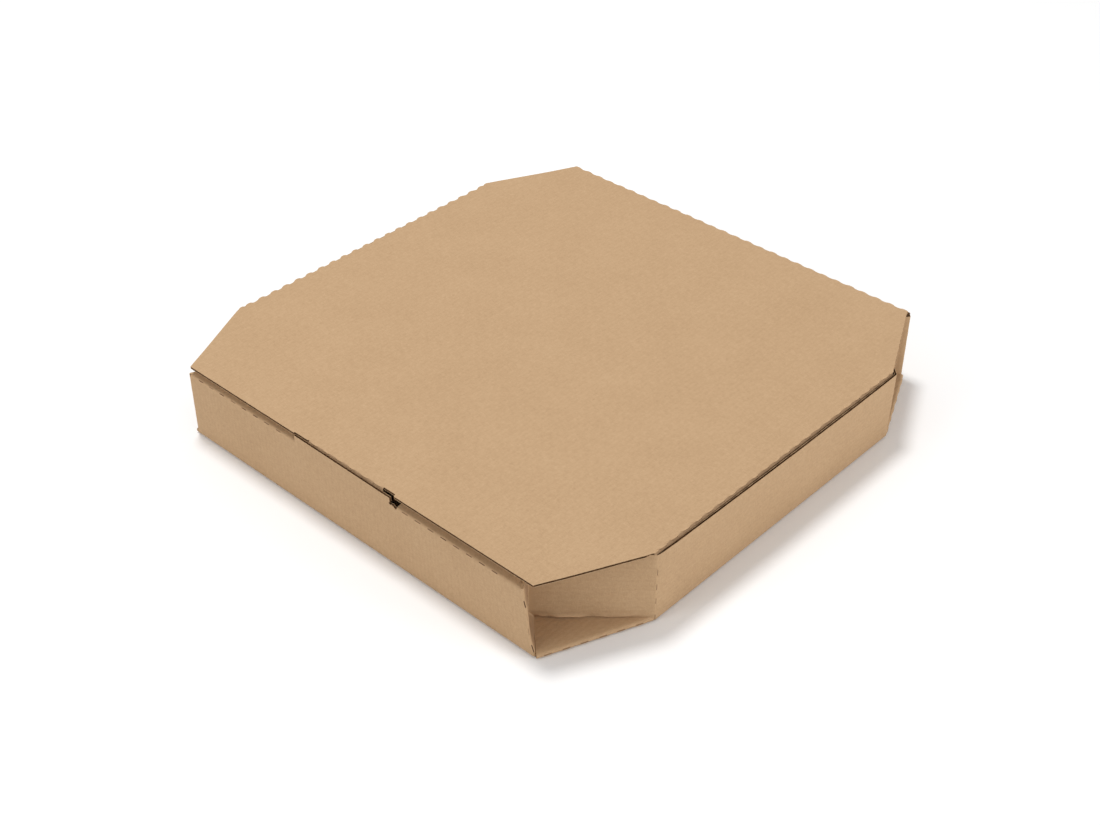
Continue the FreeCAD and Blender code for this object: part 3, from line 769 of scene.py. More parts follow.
def kraft(name, base, dark, light, washboard=1.0, scuff_and_highlight=1.0):
    """Unprinted kraft liner: cloudy formation, long fibres, flecks, faint flute lines, scuffed folds, painted
    highlights and painted shade from the marks layer.
    """
    m, nt = nodes_of(name)
    g = N(nt)
    uv = g.node("ShaderNodeUVMap", uv_map="blank").outputs["UV"]      # 1 unit = 100 mm
    mk = g.node("ShaderNodeUVMap", uv_map="marks").outputs["UV"]
    sep = g.node("ShaderNodeSeparateXYZ")
    g.link(uv, sep.inputs[0])
    sm = g.node("ShaderNodeSeparateXYZ")
    g.link(mk, sm.inputs[0])
    big = g.noise(uv, 2.6, 3.0, 0.55)
    cloud = g.noise(g.mapping(uv, (1.0, 1.0, 1), 0.3), 24.0, 4.0, 0.62)
    fine = g.noise(uv, 120.0, 3.0, 0.6)
    fib1 = g.noise(g.mapping(uv, (1.0, 0.16, 1), 0.10), 210.0, 3.0, 0.6, 0.6)
    fib2 = g.noise(g.mapping(uv, (0.20, 1.0, 1), -0.45, (3, 1, 0)), 170.0, 3.0, 0.6, 0.8)
    fib3 = g.noise(g.mapping(uv, (0.22, 1.0, 1), 0.7, (7, 4, 0)), 190.0, 2.0, 0.6, 0.8)
    fleck = g.noise(g.mapping(uv, (1, 0.6, 1), 0.5, (1, 9, 0)), 330.0, 1.0, 0.5)
    pale = g.noise(g.mapping(uv, (0.5, 1, 1), -0.9, (5, 2, 0)), 260.0, 1.0, 0.5)
    # colour
    v = g.math("MULTIPLY", g.math("SUBTRACT", big, 0.5), 0.22)
    v = g.math("ADD", v, g.math("MULTIPLY", g.math("SUBTRACT", cloud, 0.5), 0.36))
    v = g.math("ADD", v, g.math("MULTIPLY", g.math("SUBTRACT", fine, 0.5), 0.34))
    v = g.math("ADD", v, g.math("MULTIPLY", g.math("SUBTRACT", fib1, 0.5), 0.50))
    v = g.math("ADD", v, g.math("MULTIPLY", g.math("SUBTRACT", fib2, 0.5), 0.42))
    v = g.math("ADD", v, g.math("MULTIPLY", g.math("SUBTRACT", fib3, 0.5), 0.36))
    # faint lines where the flutes show through
    ph = g.math("MULTIPLY", sep.outputs["X"], 2 * math.pi * 100.0 / FLUTE)
    wave = g.math("SINE", g.math("ADD", ph, g.math("MULTIPLY", big, 1.5)))
    v = g.math("ADD", v, g.math("MULTIPLY", wave, 0.022 * washboard))
    v = g.math("ADD", v, 0.5, True)
    col = g.ramp(v, [(0.12, dark), (0.5, base), (0.88, light)])
    fl = g.ramp(fleck, [(0.0, grey(0.0)), (0.70, grey(0.0)), (0.76, grey(1.0))])
    col = g.mix(g.math("MULTIPLY", fl, 0.32), col, tuple(c * 0.45 for c in base))
    pl = g.ramp(pale, [(0.0, grey(0.0)), (0.70, grey(0.0)), (0.77, grey(1.0))])
    col = g.mix(g.math("MULTIPLY", pl, 0.30), col, tuple(min(1, c * 1.5) for c in base))
    # scuffed folds are paler; marks X also carries a painted highlight on the crumpled band. Marks Y is painted shade:
    # near-black in the slit openings, dark under the lid's side folds, in the corner pocket and under the crumple ridge
    wr = g.math("MULTIPLY", g.math("MULTIPLY", sm.outputs["X"], g.math("ADD", fib1, 0.1)), 0.75 * scuff_and_highlight, True)
    col = g.mix(wr, col, tuple(min(1, c * 1.32 + 0.01) for c in base))
    # painted shade: mixes towards near-black brown where marks Y is set
    col = g.mix(g.math("MULTIPLY", sm.outputs["Y"], 0.93, True), col, (0.075, 0.019, 0.008))
    # relief
    hgt = g.math("ADD", g.math("MULTIPLY", fib1, 0.5), g.math("MULTIPLY", fib2, 0.4))
    hgt = g.math("ADD", hgt, g.math("MULTIPLY", fine, 0.5))
    hgt = g.math("ADD", hgt, g.math("MULTIPLY", wave, 0.55 * washboard))
    hgt = g.math("ADD", hgt, g.math("MULTIPLY", cloud, 1.0))
    bump = g.node("ShaderNodeBump")
    bump.inputs["Strength"].default_value = 0.32
    bump.inputs["Distance"].default_value = 0.00012
    g.link(hgt, bump.inputs["Height"])
    bs = g.node("ShaderNodeBsdfPrincipled")
    g.link(col, bs.inputs["Base Color"])
    rgh = g.math("ADD", g.math("MULTIPLY", cloud, 0.16), 0.74, True)
    g.link(rgh, bs.inputs["Roughness"])
    bs.inputs["Specular IOR Level"].default_value = 0.22
    g.link(bump.outputs["Normal"], bs.inputs["Normal"])
    out = g.node("ShaderNodeOutputMaterial")
    g.link(bs.outputs[0], out.inputs[0])
    return m


def raw(name, base, dark, scale=1.0, rough=0.95):
    """Cut paper: fuzzy, uneven, paler than the liner."""
    m, nt = nodes_of(name)
    g = N(nt)
    uv = g.node("ShaderNodeUVMap", uv_map="blank").outputs["UV"]
    a = g.noise(uv, 260.0 * scale, 4.0, 0.7)
    b = g.noise(g.mapping(uv, (1, 0.25, 1), 0.4), 90.0 * scale, 3.0, 0.6)
    v = g.math("ADD", g.math("MULTIPLY", a, 0.6), g.math("MULTIPLY", b, 0.5))
    col = g.ramp(v, [(0.25, dark), (0.75, base)])
    bump = g.node("ShaderNodeBump")
    bump.inputs["Strength"].default_value = 0.6
    bump.inputs["Distance"].default_value = 0.0002
    g.link(a, bump.inputs["Height"])
    bs = g.node("ShaderNodeBsdfPrincipled")
    g.link(col, bs.inputs["Base Color"])
    bs.inputs["Roughness"].default_value = rough
    bs.inputs["Specular IOR Level"].default_value = 0.12
    g.link(bump.outputs["Normal"], bs.inputs["Normal"])
    out = g.node("ShaderNodeOutputMaterial")
    g.link(bs.outputs[0], out.inputs[0])
    return m


KRAFT_BASE = (0.500, 0.328, 0.184)
KRAFT_DARK = (0.400, 0.250, 0.134)
KRAFT_LIGHT = (0.590, 0.403, 0.240)
m_outer = kraft("kraft_outer", KRAFT_BASE, KRAFT_DARK, KRAFT_LIGHT)
m_inner = kraft("kraft_inner", tuple(c * 0.93 for c in KRAFT_BASE), tuple(c * 0.93 for c in KRAFT_DARK),
                tuple(c * 0.95 for c in KRAFT_LIGHT), washboard=1.6)
m_rim = raw("cut_edge", (0.58, 0.40, 0.235), (0.40, 0.255, 0.135))
m_core = raw("flute_paper", (0.24, 0.125, 0.060), (0.13, 0.062, 0.028))
MATS = [m_outer, m_inner, m_rim, m_core]

# ================================================================== lid
lid = Build()
lid_core = Build()


def lid_z(x, y):
    """The lid sags a little between its edges, unevenly."""
    x, y = np.asarray(x, float), np.asarray(y, float)
    e = sstep(179.4 - np.abs(x), 0, 30) * sstep(y + 181, 0, 25) * sstep(182 - y, 0, 30)
    return -(0.10 + 0.28 * (0.5 + 0.5 * noise2(x, y, 95, 5)) + 0.10 * (0.5 + 0.5 * noise2(x, y, 33, 6))) * e


xin = LID_X - R
yrr = REAR_Y - R
fx, hx = 180.0 - LID_CX, 180.0 - LID_RCX
ya, yb = LID_Y0 + LID_CY - 4.6, REAR_Y - LID_RCY + 3.9
ss_side, sg_side, sh_side, sr_side = slit_line(ya, yb, seed=1)
ss_side2, sg_side2, sh_side2, sr_side2 = slit_line(ya, yb, seed=2)
ss_rear, sg_rear, sh_rear, sr_rear = slit_line(-hx, hx, seed=3)
ss_tab, sg_tab, sh_tab, sr_tab = slit_line(TAB_X0, TAB_X1, seed=4, step=2.0)

# outline of the flat panel, counter-clockwise from the front left
tfy = TAB_Y + TAB_R
seg_front_l = resample([(-fx, LID_Y0), (REC_X0, LID_Y0)], 2.0)
seg_rec_l = resample([(REC_X0, LID_Y0), (REC_X0 + 0.4, REC_Y)], 1.2) + resample([(REC_X0 + 0.4, REC_Y), (TAB_X0 - 0.4, REC_Y)], 1.8)
seg_rec_l2 = resample([(TAB_X0 - 0.4, REC_Y), (TAB_X0, tfy)], 1.2)
seg_tab = [np.array([x, tfy]) for x in ss_tab[:-1]]
seg_rec_r2 = resample([(TAB_X1, tfy), (REC_X1, tfy)], 2.0)
seg_rec_r = resample([(REC_X1, tfy), (REC_X1 + 1.0, LID_Y0)], 1.2)
seg_front_r = resample([(REC_X1 + 1.0, LID_Y0), (fx, LID_Y0)], 2.0)
# corner cuts end where the side fold begins
tcut = (xin - fx) / (LID_X - fx)


def cut_pts(p, q, n=34):
    p, q = np.array(p, float), np.array(q, float)
    return [p + (q - p) * i / n for i in range(n)]


c_fr = (xin, LID_Y0 + (ya - LID_Y0) * tcut)
c_rr = (xin, yb + (yrr - yb) * (LID_X - xin) / (LID_X - hx) * 0.0 + 0.0)
# straight side of the panel at the fold line runs the fold's whole length
side_r = [np.array([xin, y]) for y in ss_side]
side_l = [np.array([-xin, y]) for y in ss_side2[::-1]]
rear_l = [np.array([x, yrr]) for x in ss_rear[::-1]]
seg_cfr = cut_pts((fx, LID_Y0), (xin, ya), 36)
seg_crr = cut_pts((xin, yb), (hx, yrr), 36)
seg_crl = cut_pts((-hx, yrr), (-xin, yb), 36)
seg_cfl = cut_pts((-xin, ya), (-fx, LID_Y0), 36)
loop = (seg_front_l + seg_rec_l + seg_rec_l2 + seg_tab + seg_rec_r2 + seg_rec_r + seg_front_r + seg_cfr
        + side_r[:-1] + seg_crr + rear_l[:-1] + seg_crl + side_l[:-1] + seg_cfl)


def top3(x, y):
    return np.stack([x, y, H + lid_z(x, y)], -1)


def bot3(x, y):
    return np.stack([x, y, H - T + lid_z(x, y)], -1)


uvxy = lambda x, y: np.stack([x, y], -1)
panel(lid, [loop], 9.0, top3, OUTER, uvxy, seed=1)
panel(lid, [loop], 9.0, bot3, INNER, lambda x, y: np.stack([x + 411, y + 77], -1), seed=1)


def rawline(pts, parallel=False, seed=0, inward=None):
    """Raw edge of the lid panel along 2-D points."""
    p = np.array(pts)
    A, B = top3(p[:, 0], p[:, 1]), bot3(p[:, 0], p[:, 1])
    t = np.gradient(p, axis=0)
    t /= np.linalg.norm(t, axis=1)[:, None]
    nin = np.stack([-t[:, 1], t[:, 0], 0 * t[:, 0]], 1)
    raw_edge(lid, lid_core, A, B, nin, p[:, 0], parallel, seed=seed, uv=p)


rawline(seg_front_l + [np.array([REC_X0, LID_Y0])], seed=1)
rawline(seg_rec_l + seg_rec_l2 + [np.array([TAB_X0, tfy])], seed=3)
rawline(seg_rec_r2 + seg_rec_r + [np.array([REC_X1 + 1.0, LID_Y0])], seed=4)
rawline(seg_front_r + [np.array([fx, LID_Y0])], seed=6)
rawline(seg_cfr + [np.array([xin, ya])], seed=7)
rawline(seg_crr + [np.array([hx, yrr])], seed=8)
rawline(seg_crl + [np.array([-xin, yb])], seed=9)
rawline(seg_cfl + [np.array([-fx, LID_Y0])], seed=10)


def fold_and_flap(bd, core, C, n1, n2, g, h, ran, uvc, uvdir, drops, ends, seed=0, R=R, **look):
    """A fold strip and the flap that hangs from it, both faces; the raw edges round the flap are added by the callers.
    C, n1, n2: arrays along the fold. drops: distances down the flap. ends(d): shift of the first and last station."""
    k = len(C)
    L = math.pi / 2 * R
    S = np.linspace(0, 1, k)
    P = fold_rows(C, n1, n2, R, g, h, ran, **look)
    if R > T:
        Q = fold_rows(C, n1, n2, R - T, g * 0, h * 0 + 1, ran * 0, qs=ANG, push=0, sharp=0)
    else:
        m = n1 + n2
        Q = np.array([C + m * ((R - T) / (1 + (n1 * n2).sum(1)))[:, None]] * len(ANG))
        Q[0] = C + n1 * (R - T)
        Q[-1] = C + n2 * (R - T)
        for r_ in range(1, len(ANG) - 1):
            Q[r_] = Q[r_] + (ANG[r_] - 0.5) * 0.02 * np.array([0, 0, 1.0])
    P[:, :, 2] = np.minimum(P[:, :, 2], H)
    down = np.cross(np.gradient(C, axis=0), n2)
    down /= np.linalg.norm(down, axis=1)[:, None]
    if down[k // 2, 2] > 0:
        down = -down
    along = np.gradient(C, axis=0)
    along /= np.linalg.norm(along, axis=1)[:, None]
    rowsP, rowsQ, uvP, uvQ = [], [], [], []
    for r_, q in enumerate(ANG):
        a0, a1 = ends(-(1 - q) * L)
        sh = (a0 * (1 - S) + a1 * S)[:, None] * along
        P[r_] += sh * (r_ > 0)
        Q[r_] += sh * (r_ > 0)
        uvP.append(uvc + np.array(uvdir) * q * L)
        uvQ.append(uvc + np.array(uvdir) * q * L + [411, 77])
    for d in drops:
        a0, a1 = ends(d)
        sh = (a0 * (1 - S) + a1 * S)[:, None] * along
        w = 0.10 * noise2(S * 230 + seed * 50, np.full(k, d), 24, 6)[:, None] * min(1, d / 6)
        base = C + down * d + sh + n2 * w
        rowsP.append(base + n2 * R)
        rowsQ.append(base + n2 * (R - T))
        uvP.append(uvc + np.array(uvdir) * (L + d) + np.stack([0 * S, 0 * S], 1))
        uvQ.append(uvc + np.array(uvdir) * (L + d) + [411, 77])
    PP = np.concatenate([P, np.array(rowsP)])
    QQ = np.concatenate([Q, np.array(rowsQ)])
    mk = np.concatenate([(square_marks if look.get("square") else fold_marks)(ANG, g, h), np.zeros((len(drops), k, 2))])
    if look.get("square"):
        # painted shade fading down the flap below the fold
        mk[len(ANG):, :, 1] = (0.35 * np.exp(-np.array(drops) / 4.0))[:, None]
    bd.grid(PP, np.array(uvP), OUTER, mk)
    bd.grid(QQ, np.array(uvQ), INNER)
    return PP, QQ, np.array(uvP), down, along


def lid_side(s, st, g, h, ran, seed):
    k = len(st)
    h = np.maximum(h, 1 - sstep(np.minimum(st - st.min(), st.max() - st), 2.5, 5.0))
    C = np.stack([np.full(k, s * xin), st, H - R + lid_z(np.full(k, s * xin), st)], 1)
    n1 = np.tile([0.0, 0, 1], (k, 1))
    a = math.radians(90 + FLAP_TILT)
    n2 = np.tile([s * math.sin(a), 0, math.cos(a)], (k, 1))
    Ld = (H - R - FLAP_Z) / math.cos(math.radians(FLAP_TILT))
    drops = [0.8, 1.8, 3.2, 6, 11, 17, 23, Ld]

    def ends(d):
        if d <= 0:
            t = 1 + d / (math.pi / 2 * R)
            t = min(1.0, 2 * t)
            return 4.6 * t, -3.9 * t
        a0 = 4.6 + 14.0 * sstep(d, 0, 4.5) + 8.0 * d / Ld
        a1 = -(3.9 + 5.0 * sstep(d, 0, 4.5) + 8.0 * d / Ld)
        return float(a0), float(a1)

    PP, QQ, uvP, down, along = fold_and_flap(lid, lid_core, C, n1, n2, g, h, ran, np.stack([np.full(k, s * xin), st], 1),
                                             (s, 0), drops, ends, seed, square=0.9)
    # raw edges: tip and both ends
    raw_edge(lid, lid_core, PP[-1], QQ[-1], -down, np.full(k, 0.0), True, seed=20 + seed, uv=uvP[-1])
    for e, sg in ((0, 1), (-1, -1)):
        A, B = PP[:, e], QQ[:, e]
        raw_edge(lid, lid_core, A, B, np.tile(along[0] * sg, (len(A), 1)), np.linspace(0, 31, len(A)), False, seed=22 + seed, uv=uvP[:, e])


lid_side(1, ss_side, sg_side, sh_side, sr_side, 1)
lid_side(-1, ss_side2, sg_side2, sh_side2, sr_side2, 2)

# tuck tab
k = len(ss_tab)
Ct = np.stack([ss_tab, np.full(k, tfy), H - TAB_R + lid_z(ss_tab, np.full(k, tfy))], 1)
n1t = np.tile([0.0, 0, 1], (k, 1))
at = math.radians(90 + TAB_TILT)
n2t = np.tile([0, -math.sin(at), math.cos(at)], (k, 1))
Lt = TAB_LENGTH - TAB_R


def tab_ends(d):
    if d <= 0:
        return 0.0, 0.0
    c = TAB_CORNER
    t = d - (Lt - c)
    if t <= 0:
        return 0.0, 0.0
    v = c - math.sqrt(max(c * c - t * t, 0))
    return v, -v


PPt, QQt, uvt, downt, alongt = fold_and_flap(lid, lid_core, Ct, n1t, n2t, sg_tab, sh_tab, sr_tab,
                                             np.stack([ss_tab, np.full(k, tfy)], 1), (0, -1),
                                             [1, 3, 6, 10, Lt - 8, Lt - 6, Lt - 4, Lt - 2.4, Lt - 1.2, Lt - 0.4, Lt], tab_ends, 3,
                                             R=TAB_R, square=0.6, depth=0.5, push=0.35, sharp=0.25)
raw_edge(lid, lid_core, PPt[-1], QQt[-1], -downt, PPt[-1][:, 0], False, seed=31, uv=uvt[-1])
for e, sg in ((0, 1), (-1, -1)):
    A, B = PPt[:, e], QQt[:, e]
    dd = np.tile(alongt[0] * sg, (len(A), 1)).astype(float)
    dd[-6:] = (dd[-6:] - downt[0]) / math.sqrt(2)
    raw_edge(lid, lid_core, A, B, dd, np.zeros(len(A)), True, seed=32, uv=uvt[:, e])

# rear fold: the first part of the bend belongs to the lid, the rest to the crease
kr = len(ss_rear)
Cr = np.stack([ss_rear, np.full(kr, yrr), H - R + lid_z(ss_rear, np.full(kr, yrr))], 1)
n1r = np.tile([0.0, 0, 1], (kr, 1))
n2r = np.tile([0.0, 1, 0], (kr, 1))
full = fold_rows(Cr, n1r, n2r, R, sg_rear, sh_rear, sr_rear)
full[:, :, 1] = np.minimum(full[:, :, 1], REAR_Y)
full[:, :, 2] = np.minimum(full[:, :, 2], H)
mkr = fold_marks(ANG, sg_rear, sh_rear)
uv_rear = np.array([np.stack([ss_rear, yrr + q * R * 1.57 + 0 * ss_rear], 1) for q in ANG])
cut_a, cut_b = 2, 8                       # rows 0-2 lid, 2-8 crease, 8-10 tray
lid.grid(full[:cut_a + 1], uv_rear[:cut_a + 1], OUTER, mkr[:cut_a + 1])
A2 = np.stack([ss_rear, np.full(kr, 177.8), H - T + lid_z(ss_rear, np.full(kr, 177.8))], 1)
inner_edge = np.stack([ss_rear, np.full(kr, yrr), H - T + lid_z(ss_rear, np.full(kr, yrr))], 1)
# close the lid's rear edge
lid.grid(np.array([full[cut_a], inner_edge]), np.array([uv_rear[cut_a], uv_rear[cut_a] + [0, 1.7]]), CORE)
for e in (0, -1):
    lid.add([full[0][e], full[1][e], full[2][e], inner_edge[e]], [(0, 1, 2, 3)], [[0, 0]] * 4, [[0, 0]] * 4, RIM)

lid_ob = lid.object("lid_board", MATS)
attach(lid_ob, "lid")
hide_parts("lid")
lid_core_ob = lid_core.object("lid_flutes", [m_core])
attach(lid_core_ob, "lid")

# ================================================================== crease between the lid and the rear wall
cr = Build()
inner_path = [(177.6, 51.3), (178.9, 51.15), (179.7, 50.9), (180.0, 50.3), (180.25, 49.4), (180.35, 48.4)]
outer = full[cut_a:cut_b + 1]
rows_in = []
for y, z in inner_path:
    wob = 0.12 * noise2(ss_rear, np.full(kr, y * 3), 9, 2)
    rows_in.append(np.stack([ss_rear, np.full(kr, y) + wob * 0.4, z - 0.28 + lid_z(ss_rear, np.full(kr, y)) + wob * 0.5], 1))
ringc = list(outer) + rows_in[::-1] + [outer[0]]
uvc = [uv_rear[i] for i in range(cut_a, cut_b + 1)] + [np.stack([ss_rear + 411, 77 + y + 0 * ss_rear], 1) for y, z in inner_path[::-1]] + [uv_rear[cut_a]]
mkc = np.concatenate([mkr[cut_a:cut_b + 1], np.zeros((len(inner_path) + 1, kr, 2))])
nout = cut_b - cut_a
cr.grid(np.array(ringc[:nout + 1]), np.array(uvc[:nout + 1]), OUTER, mkc[:nout + 1])
cr.grid(np.array(ringc[nout:]), np.array(uvc[nout:]), INNER, mkc[nout:] * 0)
for e in (0, -1):
    pts = [rw[e] for rw in ringc[:-1]]
    cr.add(pts, [tuple(range(len(pts)))], [[0, 0]] * len(pts), [[0, 0]] * len(pts), RIM)
crease_ob = cr.object("hinge_crease", MATS)
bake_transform(crease_ob)

# ================================================================== tray walls (all but the front)
tray = Build()
tray_core = Build()

bz = [(0.0, R), (0.12, R * 0.66), (0.45, R * 0.34), (1.0, R * 0.10), (R, 0.0)]      # height, inset at the bottom fold
low_rows, _ = ring_array([z for z, d in bz], 0.0, [d for z, d in bz])
up_rows, mk_up = ring_array(list(ZROWS), 0.0)
low_rows[-1] = up_rows[0]
OUTERP = np.concatenate([low_rows[:-1], up_rows])
MKO = np.concatenate([np.zeros((len(bz) - 1, len(RUN), 2)), mk_up])
in_z = [T, T + 0.4, 4.0, 8.0, 14.0, 22.0, 30.0, 38.0, 44.0, 47.2, 49.6, SIDE_TOP_Z]
INNERP, _ = ring_array(in_z, T)
# flutes run along Y: on side walls and their webs the lines are level, on the rear wall they stand
uvO = np.zeros(OUTERP.shape[:2] + (2,))
uvI = np.zeros(INNERP.shape[:2] + (2,))
path = np.concatenate([[0], np.cumsum(np.linalg.norm(np.diff(up_rows[6][:, :2], axis=0), axis=1))])
for i, (kd, j, q) in enumerate(RUN):
    level = (kd == "e" and j in (2, 3, 4, 8, 9, 10)) or (kd == "v" and j in (3, 4, 9, 10))
    for arr, P in ((uvO, OUTERP), (uvI, INNERP)):
        if level:
            arr[:, i, 0] = P[:, i, 2] + 260
            arr[:, i, 1] = path[i]
        else:
            arr[:, i, 0] = path[i]
            arr[:, i, 1] = P[:, i, 2] + 260
uvI = uvI + [411, 77]
tray.grid(OUTERP, uvO, OUTER, MKO)
tray.grid(INNERP, uvI, INNER)

# raw top edges, run by run
names = [(kd, j) for kd, j, q in RUN]
topA, topB = OUTERP[-1], INNERP[-1]
groups = {"webR": [i for i, (kd, j) in enumerate(names) if (kd == "v" and j == 1) or (kd == "e" and j == 1)],
          "sideR": [i for i, (kd, j) in enumerate(names) if j in (2, 3, 4) or (kd == "v" and j == 5)],
          "rear1": [i for i, (kd, j) in enumerate(names) if (kd == "e" and j == 5) or (kd == "v" and j == 6)],
          "rear2": [i for i, (kd, j) in enumerate(names) if (kd == "v" and j == 7) or (kd == "e" and j == 7)],
          "sideL": [i for i, (kd, j) in enumerate(names) if j in (8, 9, 10) or (kd == "v" and j == 11)],
          "webL": [i for i, (kd, j) in enumerate(names) if (kd == "e" and j == 11) or (kd == "v" and j == 0)]}
order = ["webR", "sideR", "rear1", "rearwall", "rear2", "sideL", "webL"]
for gname, idx in groups.items():
    idx = sorted(idx)
    nxt = idx[-1] + 1
    if gname in ("webR", "sideR", "rear2", "sideL") and nxt < len(RUN):
        idx = idx + [nxt]
    A, B = topA[idx], topB[idx]
    par = gname in ("sideR", "sideL")
    raw_edge(tray, tray_core, A, B, np.tile([0, 0, -1.0], (len(idx), 1)), path[idx], par, seed=40 + len(gname) + idx[0] % 7, uv=uvO[-1][idx],
             phase=0.9 if gname == "sideR" else 0.2, plain=gname in ("webR", "webL"))
# rear wall: its top goes into the crease
idx = [i for i, (kd, j) in enumerate(names) if kd == "e" and j == 6]
idx = [idx[0] - 1] + idx + [idx[-1] + 1]
A, B = topA[idx], topB[idx]
xs = A[:, 0]
trow = full[8:11]
rear_fold = np.zeros((3, len(idx), 3))
for r_ in range(3):
    for c_ in range(3):
        o = np.argsort(ss_rear)
        rear_fold[r_, :, c_] = np.interp(xs, ss_rear[o], trow[r_][o, c_])
    rear_fold[r_, :, 0] = xs
uvr = np.array([uvO[-1][idx]] * 3)
tray.grid(np.array([A, rear_fold[2], rear_fold[1], rear_fold[0]]), np.array([uvO[-1][idx]] * 4), OUTER)
Bi = B.copy()
Bi[:, 2] = 48.6
tray.grid(np.array([rear_fold[0], B]), np.array([uvO[-1][idx]] * 2), CORE)

# ================================================================== front wall, ledge and inner panel
yo = FRONT_Y
yi = FRONT_Y + LEDGE_DEPTH


def fold_height(x):
    return np.interp(x, [-160, SLOT_X0, SLOT_X1, 139], [FOLD_Z, FOLD_Z, FOLD_Z_MID, FOLD_Z_RIGHT])


def front_xy(x, z):
    """Maps the front panel's own (x, z) to plan x and y: its right end has been pushed back at the top."""
    x, z = np.asarray(x, float), np.asarray(z, float)
    k = lean_curve(z)
    f = sstep(x, 60, 150)
    xx = x - LEAN_X * k * np.clip((x - 40) / (150 - 40), 0, 1) ** 1.6
    bulge = 0.0
    yy = FRONT_Y + LEAN_Y * k * f
    wav = 0.35 * (0.5 + 0.5 * noise2(x, z, 46, 7)) * sstep(152 - np.abs(x), 0, 16) * sstep(z, 2, 14)
    return xx, yy + wav


# left and right boundaries are the first and last stations of the run
zin = np.array(ZROWS)
right_col = OUTERP[len(bz) - 1:, 0]
left_col = OUTERP[len(bz) - 1:, -1]
XL, XR = float(LOW[0][0] + 1.95), float(LOW[1][0] - 1.95)


def front_outer(x, z, depth=0.0):
    """Outer (depth 0) or inner face of the front panel."""
    x, z = np.asarray(x, float), np.asarray(z, float)
    xx, yy = front_xy(x, z)
    f = (x - XL) / (XR - XL)
    return np.stack([xx, yy + depth, z], -1)


# the corner folds end at these stations: take their true positions at each height
def column(i_station, z, delta):
    st = RUN[i_station]
    res = []
    for zz in np.atleast_1d(z):
        C, o = frames(float(zz))
        p, n = ring_point(st, float(zz), delta, C=C, out=o)
        res.append(p)
    return np.array(res)


def front_pt(x, z, delta=0.0):
    """x runs from XL to XR in the flat panel; both ends meet the corner folds."""
    x = np.atleast_1d(np.asarray(x, float))
    z = np.atleast_1d(np.asarray(z, float))
    out = np.zeros((len(x), 3))
    zs = np.round(z, 4)
    for zz in np.unique(zs):
        m = zs == zz
        L_ = column(len(RUN) - 1, [zz], delta)[0]
        R_ = column(0, [zz], delta)[0]
        f = (x[m] - XL) / (XR - XL)
        # most of the push-in is taken up near the right end
        straight_r = np.array([XR, FRONT_Y + delta])
        base = np.stack([x[m], np.full(m.sum(), FRONT_Y + delta)], 1)
        wL = 1 - sstep(f, 0, 0.10)
        wR = np.clip((f - 0.55) / 0.45, 0, 1) ** 1.7
        p = base + wL[:, None] * (L_ - [XL, FRONT_Y + delta]) + wR[:, None] * (R_ - straight_r)
        edge = sstep(f, 0, 0.06) * sstep(1 - f, 0, 0.06) * float(sstep(zz, R, 12))
        wav = 0.45 * (0.5 + 0.5 * noise2(x[m], np.full(m.sum(), zz), 52, 7)) * edge
        p[:, 1] += wav
        out[m] = np.column_stack([p, np.full(m.sum(), zz)])
    return out


# stations along the outer fold: two runs of slits either side of the slot
sl, gl, hl, rl_ = slit_line(XL, SLOT_X0, cs=[-139.0, -128.4, -117.7, -106.6, -95.9, -84.9, -74.3, -63.1], seed=5, slit=4.4)
srr, gr, hr, rr_ = slit_line(SLOT_X1, XR, cs=[49.6, 60.7, 71.9, 83.0, 94.1, 105.1, 116.2, 127.2], seed=6, slit=4.9)

ztong = lambda x: TONGUE_Z0 + (TONGUE_Z1 - TONGUE_Z0) * (np.asarray(x) - SLOT_X0) / (TONGUE_X1 - SLOT_X0)
FZ0 = R * 0.9       # the fold strip starts this far below the fold height


def fz(x):
    return fold_height(x) - FZ0


# outline of the outer panel in (x, z)
zs_side = [z for z in ZROWS]


def side_col(x, ztop, up=True):
    zz = [z for z in ZROWS if z < ztop - 0.2] + [ztop]
    pts = [np.array([x, z]) for z in zz]
    return pts if up else pts[::-1]


zl_top, zr_top = float(fz(XL)), float(fz(XR))
bottom_x = np.linspace(XL, XR, 90)
tong = [np.array([x, float(ztong(x))]) for x in np.linspace(SLOT_X0, TONGUE_X1, 56)]
notch = [np.array([TONGUE_X1, NOTCH_Z + 1.5]), np.array([TONGUE_X1 - 1.1, NOTCH_Z + 0.7]), np.array([TONGUE_X1 + 0.3, NOTCH_Z]),
         np.array([TONGUE_X1 + 1.9, NOTCH_Z + 0.5])]


def rs(a, b, step):
    return resample([a, b], step)


left_step = rs(np.array([SLOT_X0, float(fz(SLOT_X0))]), tong[0], 1.2)
n_a = rs(tong[-1], notch[0], 1.2)
n_b = rs(notch[0], notch[1], 0.6)
n_c = rs(notch[1], notch[2], 0.6)
n_d = rs(notch[2], notch[3], 0.6)
n_e = rs(notch[3], np.array([SLOT_X1, float(fz(SLOT_X1))]), 0.8)
top_left = [np.array([x, float(fz(x))]) for x in sl]
top_right = [np.array([x, float(fz(x))]) for x in srr]
raw_part = left_step + tong[:-1] + n_a + n_b + n_c + n_d + n_e
outl = ([np.array([x, R]) for x in bottom_x[:-1]] + side_col(XR, zr_top)[:-1] + top_right[::-1]
        + [p for p in (raw_part[::-1])] + top_left[::-1] + side_col(XL, zl_top, up=False)[1:-1])
